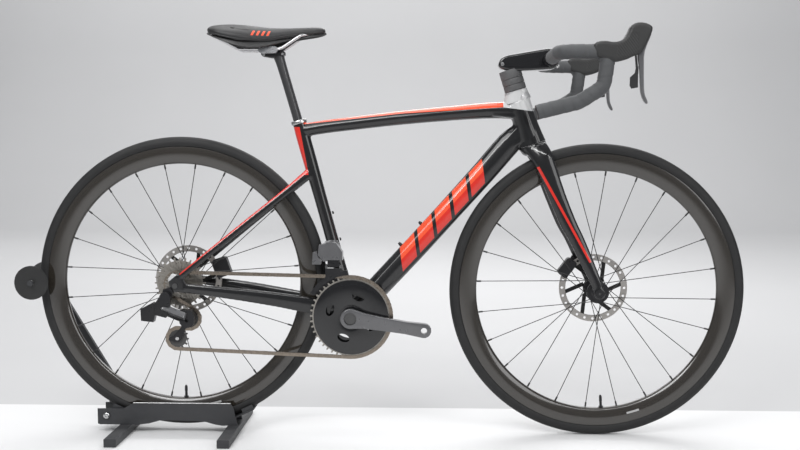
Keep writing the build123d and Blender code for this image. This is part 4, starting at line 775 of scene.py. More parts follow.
class BicycleSizes(bpy.types.PropertyGroup):
    """Sizes of what is modelled here and not taken from the frame."""
    skin: bpy.props.FloatProperty(
        name="Skin", description="Voxel of the melted frame and fork shells", default=0.0026, min=0.0015,
        max=0.006,
        unit="LENGTH",
    )
    tape_step: bpy.props.FloatProperty(
        name="Tape step", description="Distance from one wrap of the tape to the next", default=0.021,
        min=0.01,
        max=0.04, unit="LENGTH",
    )
    tyre_half_width: bpy.props.FloatProperty(
        name="Tyre half width", description="Half the width of the tyre", default=0.014, min=0.01, max=0.02,
        unit="LENGTH",
    )
    tyre_radius: bpy.props.FloatProperty(
        name="Tyre radius", description="Outside of the tyre", default=0.339, min=0.3, max=0.36,
        unit="LENGTH",
    )
    rim_radius: bpy.props.FloatProperty(
        name="Rim radius", description="Outer edge of the rim", default=0.315, min=0.3, max=0.33,
        unit="LENGTH",
    )
    rim_inner_radius: bpy.props.FloatProperty(
        name="Rim inner radius", description="Spoke bed of the rim", default=0.276, min=0.25, max=0.3,
        unit="LENGTH",
    )
    pad_puff: bpy.props.FloatProperty(
        name="Pad swell", description="Most that the saddle's foam may swell", default=0.0012, min=0,
        max=0.01,
        unit="LENGTH",
    )


# ---------------------------------------------------------------- frame and fork

def lean_of(across, up):
    """Lean from upright, in degrees, of a tube that runs this way in the side view."""
    return math.degrees(math.atan2(across, up))


def tube_stations(points, direction):
    """Stations in metres from millimetres (x, z, width, depth) in the centre plane, with one direction."""
    lean = lean_of(*direction)
    return [(x / 1000, 0.0, z / 1000, width / 1000, depth / 1000, lean) for x, z, width, depth in points]


def side_stations(points, direction, side):
    """Stations in metres from millimetres (x, z, y, width, depth), on one side of the bicycle."""
    lean = lean_of(*direction)
    return [
        (x / 1000, side * y / 1000, z / 1000, width / 1000, depth / 1000, lean) for x, z, y, width,
        depth in points
    ]


DOWN_TUBE_RUN = (0.68, 0.73)
TOP_TUBE_RUN = (0.99, 0.12)
SEAT_TUBE_RUN = (-0.266, 0.964)
CHAINSTAY_RUN = (0.98, -0.2)
SEATSTAY_RUN = (0.76, 0.65)
HEAD_RUN = (-0.2955, 0.9553)
BLADE_RUN = (0.4, -0.917)


class BICYCLE_OT_frame(bpy.types.Operator):
    """Main frame as one moulded carbon shell: tubes, stays and dropouts with soft junctions"""
    bl_idname = "bicycle.frame"
    bl_label = "Frame shell"

    def execute(self, context):
        sizes = context.scene.bicycle_sizes
        down = tube_stations([
            (-48, 294, 60, 52), (10, 356, 51, 54), (90, 442, 46, 55), (168, 528, 45, 55),
            (245, 614, 43, 56),
            (300, 678, 40, 56), (330, 706, 36, 48),
        ], DOWN_TUBE_RUN)
        top = tube_stations([
            (-176, 708, 30, 31), (-120, 717, 31, 31), (-60, 724, 32, 31), (50, 736.5, 35, 32),
            (180, 748, 38, 34),
            (270, 754, 40, 38), (330, 752, 38, 42),
        ], TOP_TUBE_RUN)
        seat = tube_stations([
            (-58, 278, 42, 36), (-80, 352, 33, 32), (-110, 462, 30, 30), (-137, 560, 29, 30),
            (-152, 614, 30, 32),
            (-172, 686, 30, 33), (-183, 726, 30, 31),
        ], SEAT_TUBE_RUN)
        head = tube_stations([
            (353.4, 676, 56, 63), (347, 692, 54, 60), (338, 718, 53, 54), (327, 752, 52, 50),
            (320, 774.5, 51, 49),
        ], HEAD_RUN)
        shapes = [lofted("down_tube_core", in_between(down, 3)),
                  lofted("top_tube_core", in_between(top, 3))]
        shapes.append(lofted("seat_tube_core", in_between(seat, 3)))
        shapes.append(lofted("head_core", in_between(head, 3)))
        shapes.append(slab("gusset_core", metres([
            (262, 640), (345, 690), (332, 760), (255, 762), (262, 741), (322, 734), (321, 720), (244, 634),
        ]), -0.0185, 0.0185))
        bottom = Vector((CRANK_AXIS.x, 0, CRANK_AXIS.z))
        shapes.append(turned("bracket_core", bottom, [
            (0.00002, -0.0425), (0.0255, -0.0425), (0.0268, -0.041), (0.0268, 0.041), (0.0255, 0.0425),
            (0.00002, 0.0425),
        ], steps=64))
        for side in SIDES.values():
            chainstay = side_stations([
                (-440, 350, 73, 10, 22), (-370, 341, 67, 12.5, 25.5), (-300, 331, 56, 13.5, 29.5),
                (-230, 319, 42, 13.5, 34), (-158, 305, 31, 12, 39), (-118, 298, 27, 12, 41),
                (-66, 288, 24, 14, 38),
            ], CHAINSTAY_RUN, side)
            seatstay = side_stations([
                (-446, 377, 74, 8.5, 14.5), (-385, 427, 67, 9.5, 15.5), (-300, 496, 48, 9.5, 16.5),
                (-205, 572, 25, 10.5, 18.5), (-158, 611, 9, 12, 24),
            ], SEATSTAY_RUN, side)
            shapes.append(lofted("chainstay_core", in_between(chainstay, 3), 24))
            shapes.append(lofted("seatstay_core", in_between(seatstay, 3), 24))
            inner = 0.0712 if side > 0 else -0.0768
            dropout = slab("dropout_core", [
                (-0.477, 0.371), (-0.467, 0.3835), (-0.444, 0.378), (-0.436, 0.362), (-0.431, 0.338),
                (-0.452, 0.3405), (-0.470, 0.3385),
            ], inner, inner + 0.0056)
            shapes.append(dropout)
        shell = moulded(joined("frame_shell", shapes), sizes.skin, 6)
        for body_centre, radius, low, high in (
            (REAR_AXLE, 0.0058, -0.09, 0.09), (CRANK_AXIS, 0.0202, -0.06, 0.06),
        ):
            hole = peg("hole", body_centre, radius, low, high, 48)
            cut_with(shell, hole)
        smooth(shell, 50)
        place(shell, "frame", FINISHES["carbon"], (
            "down_tube", "top_tube", "seat_tube", "chainstays", "seatstays",
        ))
        return {"FINISHED"}


class BICYCLE_OT_head_fittings(bpy.types.Operator):
    """Bare metal cover on the head tube, bottle bolts and the seat clamp wedge"""
    bl_idname = "bicycle.head_fittings"
    bl_label = "Head cover and bolts"

    def execute(self, context):
        cover = lofted("head_cover", in_between(tube_stations([
            (321, 774.2, 46.5, 60, ), (319.5, 779, 46, 60), (317, 788, 43.5, 56),
            (313.8, 798.5, 41.5, 51.5),
        ], HEAD_RUN), 4), 64)
        eased(cover, 0.0012)
        place(smooth(cover), "frame", FINISHES["flash"])
        bolts = []
        for x, z in ((0.046, 0.449), (0.093, 0.498)):
            outward = Vector((-0.73, 0, 0.68))
            top = Vector((x, 0, z))
            bolts.append(button_bolt(top - outward * 0.0135, outward, 0.0042, 0.0125))
        for distance in (0.158, 0.222):
            x = -0.065 - 0.266 * distance + 0.0165
            bolts.append(button_bolt(Vector((x, 0, 0.300 + 0.964 * distance + 0.004)),
                                     Vector((0.964, 0, 0.266))))
        place(smooth(joined("bottle_bolts", bolts)), "frame", FINISHES["black_alloy"])
        wedge = lofted("seat_clamp", tube_stations([
            (-182.5, 723, 33, 36), (-183.6, 727, 33.4, 36.6), (-185, 731.5, 31.5, 34.5),
        ], SEAT_TUBE_RUN), 48)
        eased(wedge, 0.0008)
        place(smooth(wedge), "frame", FINISHES["silver"])
        return {"FINISHED"}


def button_bolt(base, outward, radius=0.0039, height=0.0035):
    """Round-headed bolt with a hex socket, its head standing along outward."""
    start_clean()
    bpy.ops.mesh.primitive_circle_add(vertices=24, radius=radius, fill_type="NGON", enter_editmode=True)
    for step, scale in ((height * 0.5, 1.0), (height * 0.3, 0.82), (height * 0.2, 0.72)):
        bpy.ops.mesh.extrude_region_move(TRANSFORM_OT_translate={"value": (0, 0, step)})
        bpy.ops.transform.resize(value=(scale, scale, 1), center_override=(0, 0, 0))
    bpy.ops.mesh.inset(thickness=radius * 0.2)
    bpy.ops.mesh.extrude_region_move(TRANSFORM_OT_translate={"value": (0, 0, -height * 0.6)})
    tidy_normals()
    bolt = leave_edit("bolt")
    turn = Vector((0, 0, 1)).rotation_difference(outward.normalized())
    shape = turn.to_matrix().to_4x4()
    shape.translation = base
    bolt.data.transform(shape)
    return bolt


class BICYCLE_OT_fork(bpy.types.Operator):
    """Fork legs and crown as one moulded carbon shell"""
    bl_idname = "bicycle.fork"
    bl_label = "Fork shell"

    def execute(self, context):
        sizes = context.scene.bicycle_sizes
        shapes = []
        for side in SIDES.values():
            leg = side_stations([
                (358, 671, 14, 34, 54), (371, 653, 26, 26, 50), (382, 628, 33.5, 21.5, 45),
                (407.5, 559, 41, 18.5, 39.5),
                (433.6, 496, 46, 16.5, 37), (452, 461, 49, 15.5, 33.5), (472, 417, 53, 14.5, 30.5),
                (494, 369, 56, 12.5, 25), (502, 347, 57, 12, 24),
            ], BLADE_RUN, side)
            shapes.append(lofted("leg_core", in_between(leg, 3), 24))
            tip = turned("tip_core", FRONT_AXLE, [
                (0.00002, side * 0.0508), (0.0128, side * 0.0508), (0.0128, side * 0.063),
                (0.00002, side * 0.063),
            ], steps=48)
            shapes.append(tip)
        crown = lofted("crown_core", in_between(tube_stations([
            (353.3, 675.6, 57, 65), (355.2, 669.5, 60, 62), (358, 660, 64, 54), (360, 655, 56, 44),
        ], HEAD_RUN), 3))
        shapes.append(crown)
        shell = moulded(joined("fork_shell", shapes), sizes.skin * 0.85, 5)
        tyre_gap = turned("tyre_gap", FRONT_AXLE, [
            (0.29, -0.0175), (0.3425, -0.0175), (0.3442, -0.012), (0.3442, 0.012), (0.3425, 0.0175),
            (0.29, 0.0175),
            (0.29, -0.0175),
        ], steps=160, closed=False)
        cut_with(shell, tyre_gap)
        cut_with(shell, peg("axle_hole", FRONT_AXLE, 0.0059, -0.08, 0.08, 48))
        smooth(shell, 50)
        place(shell, "steering", FINISHES["fork"], ("fork",))
        return {"FINISHED"}


class BICYCLE_OT_seatpost(bpy.types.Operator):
    """Carbon seatpost with its clamp head"""
    bl_idname = "bicycle.seatpost"
    bl_label = "Seatpost"

    def execute(self, context):
        post = lofted("seatpost_shell", in_between(tube_stations([
            (-176, 697, 26, 21), (-185, 728, 26, 21), (-205, 797, 25, 21), (-222, 855, 24, 22),
            (-229, 878, 24, 25),
        ], (-0.28, 0.96)), 4), 40)
        head = slab("post_head", [
            (-0.270, 0.884), (-0.266, 0.8775), (-0.245, 0.874), (-0.226, 0.8745), (-0.214, 0.880),
            (-0.2135, 0.887),
            (-0.220, 0.8915), (-0.262, 0.892),
        ], -0.0115, 0.0115)
        eased(head, 0.003, 4)
        place(smooth(post), "frame", FINISHES["post"])
        place(smooth(head), "frame", FINISHES["black_alloy"])
        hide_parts("seatpost")
        bolts = [
            peg("clamp_bolt", (-0.262, 0.881), 0.0032, -0.0135, -0.0105),
            peg("clamp_nut", (-0.219, 0.883), 0.003, -0.0135, -0.0105),
        ]
        place(smooth(joined("post_bolts", bolts)), "frame", FINISHES["bolt"])
        return {"FINISHED"}


# ---------------------------------------------------------------- wheels

def ring_profile(centre_radius, radius, angle_from, angle_to, steps):
    """Points (radius, y) of an arc in the cross section of a tyre."""
    points = []
    for index in range(steps + 1):
        angle = math.radians(angle_from + (angle_to - angle_from) * index / steps)
        points.append((centre_radius + radius * math.cos(angle), radius * math.sin(angle)))
    return points


class BICYCLE_OT_wheels(bpy.types.Operator):
    """Slick tyres with a fine tread edge, and deep rims with a valve"""
    bl_idname = "bicycle.wheels"
    bl_label = "Tyres and rims"

    def execute(self, context):
        sizes = context.scene.bicycle_sizes
        half = sizes.tyre_half_width
        middle = sizes.tyre_radius - half
        outer = sizes.rim_radius
        inner = sizes.rim_inner_radius
        for end, centre, valve_angle in (("front", FRONT_AXLE, -86.6), ("rear", REAR_AXLE, -89.4)):
            body = f"{end}_wheel"
            # Round carcass with a shallow step where the tread cap ends on each side.
            carcass = []
            for radius, y in ring_profile(middle, half, 136, -136, 44):
                angle = math.degrees(math.atan2(y, radius - middle))
                depth = 0.00045 if 50 < abs(angle) < 58 else 0.0
                share = 1 - depth / half
                carcass.append((middle + (radius - middle) * share, y * share))
            carcass += [(outer - 0.0002, -0.0096), (outer - 0.0002, 0.0096), carcass[0]]
            tyre = turned(f"{end}_tyre_rubber", centre, carcass, steps=192, closed=False)
            place(smooth(tyre, 40), body, FINISHES["tyre"], (f"{end}_tyre",))
            wall = [
                (outer + 0.0008, 0.0118), (outer + 0.0008, 0.0127), (outer - 0.001, 0.0131),
                (outer - 0.008, 0.0134),
                (outer - 0.014, 0.0133), (outer - 0.021, 0.0124), (outer - 0.027, 0.0107),
                (outer - 0.033, 0.0082),
                (outer - 0.0365, 0.0058), (inner + 0.0006, 0.0033), (inner, 0.0),
            ]
            across = [(radius, -y) for radius, y in reversed(wall[:-1])]
            profile = wall + across + [(outer - 0.004, -0.0112), (outer - 0.004, 0.0112), wall[0]]
            rim = turned(f"{end}_rim_hoop", centre, profile, steps=192, closed=False)
            place(smooth(rim, 40), body, FINISHES[f"{end}_rim"], (f"{end}_rim",))
            place(self.valve(end, centre, valve_angle), body, FINISHES["black_alloy"])
        return {"FINISHED"}

    @staticmethod
    def valve(end, centre, valve_angle):
        """Presta valve: nut, threaded stem, cap."""
        start_clean()
        bpy.ops.mesh.primitive_circle_add(vertices=20, radius=0.0031, fill_type="NGON", enter_editmode=True)
        widths = [(0.0001, 1.75), (0.0028, 1.0), (0.0001, 0.57), (0.0012, 1.0)]
        for thread in range(9):
            widths += [(0.0006, 0.93), (0.0006, 1 / 0.93)]
        widths += [(0.0002, 1.12), (0.010, 0.95), (0.0025, 0.8), (0.0016, 0.6)]
        for step, scale in widths:
            bpy.ops.mesh.extrude_region_move(TRANSFORM_OT_translate={"value": (0, 0, step)})
            bpy.ops.transform.resize(value=(scale, scale, 1), center_override=(0, 0, 0))
        tidy_normals()
        valve = leave_edit(f"{end}_valve")
        angle = math.radians(valve_angle)
        inward = Vector((-math.cos(angle), 0, -math.sin(angle)))
        turn = Vector((0, 0, 1)).rotation_difference(inward).to_matrix().to_4x4()
        turn.translation = centre - inward * (bpy.context.scene.bicycle_sizes.rim_inner_radius + 0.0005)
        valve.data.transform(turn)
        return smooth(valve)


# ---------------------------------------------------------------- saddle

SADDLE_RIBS = [
    # x, half width, lowest and highest z, in millimetres
    (-389, 30, 928, 940), (-380, 52, 917, 945), (-360, 66, 903, 948), (-335, 69, 891, 949),
    (-310, 67, 884, 948),
    (-290, 61, 884, 946), (-262, 49, 889, 943), (-240, 40, 896, 941), (-205, 30, 908, 941),
    (-170, 23.5, 917, 942),
    (-140, 19, 923, 942.5), (-126, 15, 927, 942), (-120.5, 9, 930, 939),
]


class BICYCLE_OT_saddle(bpy.types.Operator):
    """Padded saddle cover over its moulded shell, with a pressure channel and stitched edge"""
    bl_idname = "bicycle.saddle"
    bl_label = "Saddle"

    def execute(self, context):
        sizes = context.scene.bicycle_sizes
        pad = self.cover(sizes)
        place(pad, "frame", FINISHES["saddle"], ("saddle_pad",))
        edge = []
        for side in SIDES.values():
            line = []
            for x, half, low, high in SADDLE_RIBS[1:-1]:
                droop = 0.35 * (high - low)
                line.append((x / 1000, side * (half - 1.0) / 1000,
                             (low + high - droop * 0.2) / 2000 - 0.0012))
            edge.append(bent_rod("welt", line, 0.0009, 8))
        place(smooth(joined("saddle_welt", edge)), "frame", FINISHES["shell"])
        dress("saddle_base", "shell")
        dress("saddle_rails", "rail")
        return {"FINISHED"}

    @staticmethod
    def cover(sizes):
        rounds = 40
        start_clean()
        first = True
        for x, half, low, high in in_between([tuple(float(v) for v in rib) for rib in SADDLE_RIBS], 3):
            half, low, high = half / 1000, low / 1000, high / 1000
            if first:
                bpy.ops.mesh.primitive_circle_add(vertices=rounds, radius=1.0, fill_type="NGON",
                                                  enter_editmode=True)
                bpy.ops.transform.rotate(value=-math.pi / 2, orient_axis="Y", center_override=(0, 0, 0))
                first = False
            else:
                bpy.ops.mesh.extrude_region_move(TRANSFORM_OT_translate={"value": (0.0001, 0, 0)})
            shape = bmesh.from_edit_mesh(bpy.context.object.data)
            ring = [vertex for vertex in shape.verts if vertex.select]
            middle_y = sum(vertex.co.y for vertex in ring) / len(ring)
            middle_z = sum(vertex.co.z for vertex in ring) / len(ring)
            reach_y = max(abs(vertex.co.y - middle_y) for vertex in ring)
            reach_z = max(abs(vertex.co.z - middle_z) for vertex in ring)
            for vertex in ring:
                share_y = (vertex.co.y - middle_y) / reach_y
                share_z = (vertex.co.z - middle_z) / reach_z
                vertex.co.x = x / 1000
                vertex.co.y = half * share_y
                vertex.co.z = (low + high) / 2 + (high - low) / 2 * share_z
            bmesh.update_edit_mesh(bpy.context.object.data)
        tidy_normals()
        pad = leave_edit("saddle_cover")
        BICYCLE_OT_saddle.hollow_below(pad)
        take_up(pad)
        pad.data.remesh_voxel_size = 0.004
        bpy.ops.object.voxel_remesh()
        cloth = pad.modifiers.new("Foam", "CLOTH")
        cloth.settings.use_pressure = True
        cloth.settings.uniform_pressure_force = 4
        cloth.settings.effector_weights.gravity = 0
        before = [vertex.co.copy() for vertex in pad.data.vertices]
        for step in range(1, 21):
            bpy.context.scene.frame_set(step)
        bpy.ops.object.modifier_apply(modifier=cloth.name)
        for vertex, start in zip(pad.data.vertices, before):
            move = vertex.co - start
            if move.length > sizes.pad_puff:
                vertex.co = start + move.normalized() * sizes.pad_puff
        bpy.context.scene.frame_set(1)
        apply_modifier(pad, "SUBSURF", levels=1, render_levels=1)
        apply_modifier(pad, "SMOOTH", factor=0.5, iterations=4)
        for vertex in pad.data.vertices:
            along = (vertex.co.x + 0.39) / 0.27
            if vertex.normal.z > 0.3 and 0.12 < along < 0.88:
                fade = min((along - 0.12) / 0.12, (0.88 - along) / 0.15, 1.0)
                groove = math.exp(-(vertex.co.y / 0.0065) ** 2)
                vertex.co.z -= 0.0035 * groove * fade
        return smooth(pad, 70)

    @staticmethod
    def hollow_below(pad):
        """Lifts the underside so that only the skirts hang down, and leaves room for rails and shell."""
        for vertex in pad.data.vertices:
            x = vertex.co.x * 1000
            for before, after in zip(SADDLE_RIBS, SADDLE_RIBS[1:]):
                if before[0] <= x <= after[0]:
                    share = (x - before[0]) / (after[0] - before[0])
                    half, low, high = (before[i] + (after[i] - before[i]) * share for i in (1, 2, 3))
                    middle = (low + high) / 2000
                    if vertex.co.z < middle and abs(vertex.co.y) < (half - 5) / 1000:
                        roof = (high - 11.0) / 1000
                        inside = min((half / 1000 - 0.005 - abs(vertex.co.y)) / 0.006, 1.0)
                        vertex.co.z += max(roof - vertex.co.z, 0) * inside
                    break


# ---------------------------------------------------------------- cockpit

BAR_SIDE = 0.205


def bar_corners(side, start_y):
    """Corners of one half of the handlebar, from the stem to the end of the drop."""
    return [
        (0.391, side * start_y, 0.868), (0.391, side * (BAR_SIDE - 0.002), 0.869),
        (0.491, side * BAR_SIDE, 0.868),
        (0.481, side * BAR_SIDE, 0.796), (0.431, side * BAR_SIDE, 0.764), (0.344, side * BAR_SIDE, 0.743),
    ]


BAR_BENDS = [0.042, 0.024, 0.028, 0.060]


class BICYCLE_OT_bar_tape(bpy.types.Operator):
    """Grey tape wrapped round both halves of the bar, each turn lapping the one before, with end plugs"""
    bl_idname = "bicycle.bar_tape"
    bl_label = "Bar tape"

    def execute(self, context):
        pitch = context.scene.bicycle_sizes.tape_step
        spacing = pitch / 10
        wraps = []
        plugs = []
        for side in SIDES.values():
            points = rounded_path(bar_corners(side, 0.062), BAR_BENDS, spacing)
            roll = bent_rod("tape_roll", points, 0.0158, 40)
            self.lap(roll, points, pitch)
            wraps.append(roll)
            end, before = points[-1], points[-3]
            run = (end - before).normalized()
            plugs.append(self.plug(end, run))
        place(smooth(joined("bar_tape_wraps", wraps), 60), "steering", FINISHES["tape"],
              ("bar_tape",))
        place(smooth(joined("bar_end_plugs", plugs)), "steering", FINISHES["shell"])
        dress("handlebar", "black_alloy")
        return {"FINISHED"}

    @staticmethod
    def lap(roll, points, pitch):
        """Raises each turn a little over the one before it, along a slant round the bar."""
        travelled = [0.0]
        for before, after in zip(points, points[1:]):
            travelled.append(travelled[-1] + (after - before).length)
        for vertex in roll.data.vertices:
            best = min(range(len(points)), key=lambda index: (points[index] - vertex.co).length_squared)
            middle = points[best]
            outward = vertex.co - middle
            if outward.length < 0.005:
                continue
            ahead = points[min(best + 1, len(points) - 1)] - points[max(best - 1, 0)]
            ahead.normalize()
            sideways = Vector((0, 0, 1)).cross(ahead)
            if sideways.length < 0.2:
                sideways = Vector((0, 1, 0))
            sideways.normalize()
            angle = math.atan2(outward.dot(sideways.cross(ahead)), outward.dot(sideways))
            phase = (travelled[best] / pitch + angle / math.tau) % 1.0
            rise = 0.0009 * phase if phase < 0.9 else 0.0009 * (1 - phase) / 0.1
            vertex.co = middle + outward.normalized() * (outward.length - 0.0006 + rise)

    @staticmethod
    def plug(end, run):
        start_clean()
        bpy.ops.mesh.primitive_circle_add(vertices=40, radius=0.0150, fill_type="NGON", enter_editmode=True)
        for step, scale in ((0.0012, 1.0), (0.0008, 0.94), (0.0004, 0.8)):
            bpy.ops.mesh.extrude_region_move(TRANSFORM_OT_translate={"value": (0, 0, step)})
            bpy.ops.transform.resize(value=(scale, scale, 1), center_override=(0, 0, 0))
        bpy.ops.mesh.inset(thickness=0.004)
        bpy.ops.mesh.extrude_region_move(TRANSFORM_OT_translate={"value": (0, 0, -0.0008)})
        tidy_normals()
        plug = leave_edit("plug")
        turn = Vector((0, 0, 1)).rotation_difference(run).to_matrix().to_4x4()
        turn.translation = end
        plug.data.transform(turn)
        return plug


def shoulders(outline, rounds=1):
    """Softens an outline by cutting its corners, so that a slab from it looks moulded."""
    for _ in range(rounds):
        softened = []
        count = len(outline)
        for index in range(count):
            x0, z0 = outline[index]
            x1, z1 = outline[(index + 1) % count]
            softened.append((x0 * 0.75 + x1 * 0.25, z0 * 0.75 + z1 * 0.25))
            softened.append((x0 * 0.25 + x1 * 0.75, z0 * 0.25 + z1 * 0.75))
        outline = softened
    return outline


def metres(outline):
    """An outline in metres from one in millimetres."""
    return [(x / 1000, z / 1000) for x, z in outline]


HOOD_SIDE = metres([
    (457, 872), (459, 886), (478, 890.5), (502, 886.5), (519, 892), (528, 906), (534, 921), (545, 927),
    (560, 927),
    (575, 921), (579, 913), (572, 896), (563, 876), (556, 863), (538, 857), (528, 851.5), (501, 845),
    (478, 851),
    (462, 858),
])


class BICYCLE_OT_hoods(bpy.types.Operator):
    """Rubber brake hoods, with a slot for the lever and a shallow thumb groove"""
    bl_idname = "bicycle.hoods"
    bl_label = "Brake hoods"

    def execute(self, context):
        hoods = []
        for side in SIDES.values():
            middle = side * BAR_SIDE
            hood = slab("hood_core", shoulders(HOOD_SIDE), middle - 0.0163, middle + 0.0163)
            eased(hood, 0.0072, 5, 50)
            slot = slab("lever_slot", metres([
                (592, 916), (553, 909), (536, 881), (531, 838), (577, 828), (592, 880),
            ]), middle - 0.0067, middle + 0.0067)
            cut_with(hood, slot)
            apply_modifier(hood, "REMESH", mode="VOXEL", voxel_size=0.0012)
            apply_modifier(hood, "SMOOTH", factor=0.5, iterations=5)
            for vertex in hood.data.vertices:
                x, z = vertex.co.x, vertex.co.z
                near_rib = 0.505 < x < 0.548 and z < 0.905
                if near_rib and abs(vertex.normal.y) > 0.6:
                    wave = 0.5 + 0.5 * math.sin((x * 0.8 + z * 0.6) * math.tau / 0.0046)
                    vertex.co.y -= vertex.normal.y * 0.0005 * wave
            hoods.append(hood)
        piece = smooth(joined("brake_hoods", hoods), 60)
        place(piece, "steering", FINISHES["rubber"], ("lever_hoods",))
        pins = []
        for side in SIDES.values():
            middle = side * BAR_SIDE
            pins.append(peg("lever_pin", (LEVER.x, LEVER.z), 0.0023, middle - 0.0120, middle + 0.0120))
        place(smooth(joined("lever_pins", pins)), "steering", FINISHES["bolt"])
        return {"FINISHED"}


LEVER_SIDE = metres([
    (577, 907), (569, 908.5), (557, 902), (552, 884), (549.6, 862), (551, 848), (553.8, 834), (555, 808),
    (556.8, 784), (561, 770), (567, 760.5), (572, 759.5), (571, 767), (566.5, 776), (564, 786), (563, 808),
    (562.6, 834), (562, 862), (568, 882), (576, 900),
])


class BICYCLE_OT_levers(bpy.types.Operator):
    """Brake lever blades with a rounded front, and shift paddles behind them"""
    bl_idname = "bicycle.levers"
    bl_label = "Levers and paddles"

    def execute(self, context):
        for label, side in SIDES.items():
            middle = side * BAR_SIDE
            blade = slab("blade_core", shoulders(LEVER_SIDE), middle - 0.0058, middle + 0.0058)
            eased(blade, 0.0030, 4, 40)
            cut_with(blade, peg("pin_hole", (LEVER.x, LEVER.z), 0.0025, middle - 0.02, middle + 0.02))
            blade.name = f"lever_blade_{label}"
            place(smooth(blade, 40), f"lever_{label}", FINISHES["grey_alloy"],
                  (f"brake_lever_{label}",))
            dress(f"shift_paddle_{label}", "shell", 0.0009)
        return {"FINISHED"}


class BICYCLE_OT_stem(bpy.types.Operator):
    """Gloss stem with a rounded body, a faceplate seam and bolts, and the spacers under it"""
    bl_idname = "bicycle.stem"
    bl_label = "Stem and spacers"

    def execute(self, context):
        outline = metres([
            (273, 849), (274.5, 860), (279, 870), (290, 877.5), (330, 884), (379, 892.5), (392, 893.2),
            (403, 890),
            (410, 881), (412, 868), (408, 853), (399, 847), (384, 845.5), (335, 843), (305, 841.5),
        ])
        stem = slab("stem_shell", shoulders(outline), -0.0212, 0.0212)
        eased(stem, 0.0085, 5, 50)
        bar = peg("bar_hole", (0.391, 0.868), 0.01595, -0.05, 0.05, 64)
        cut_with(stem, bar)
        seam = slab("seam", metres([(390.4, 884), (391.6, 884), (391.6, 900), (390.4, 900)]), -0.03, 0.03)
        lower_seam = slab("seam", metres([(390.4, 838), (391.6, 838), (391.6, 852), (390.4, 852)]), -0.03,
                          0.03)
        cut_with(stem, seam)
        cut_with(stem, lower_seam)
        place(smooth(stem, 40), "steering", FINISHES["gloss_black"], ("stem",))
        bolts = [peg("side_bolt", (0.283, 0.8572), 0.0040, -0.0236, -0.0208)]
        for z in (0.853, 0.886):
            for y in (-0.0135, 0.0135):
                bolts.append(button_bolt(Vector((0.4095, y, z)), Vector((1, 0, 0)), 0.0028, 0.0028))
        place(smooth(joined("stem_bolts", bolts)), "steering", FINISHES["bolt"])
        spacers = []
        level = 0.1287
        lean = lean_of(STEERING_AXIS.x, STEERING_AXIS.z)
        for height in (0.0137, 0.0137, 0.0205):
            low = STEERING_BASE + STEERING_AXIS * level
            high = low + STEERING_AXIS * height
            spacer = lofted("spacer", [
                (low.x, 0, low.z, 0.0472, 0.0502, lean), (high.x, 0, high.z, 0.0472, 0.0500, lean),
            ], 64)
            eased(spacer, 0.0013, 3, 50)
            spacers.append(spacer)
            level += height + 0.00035
        stack = smooth(joined("headset_stack", spacers))
        place(stack, "steering", FINISHES["spacer"], ("headset_spacers",))
        return {"FINISHED"}


# ---------------------------------------------------------------- drivetrain

def around(centre, radius, angle):
    """The point (x, z) at a radius and an angle in degrees about a centre."""
    angle = math.radians(angle)
    return centre.x + radius * math.cos(angle), centre.z + radius * math.sin(angle)


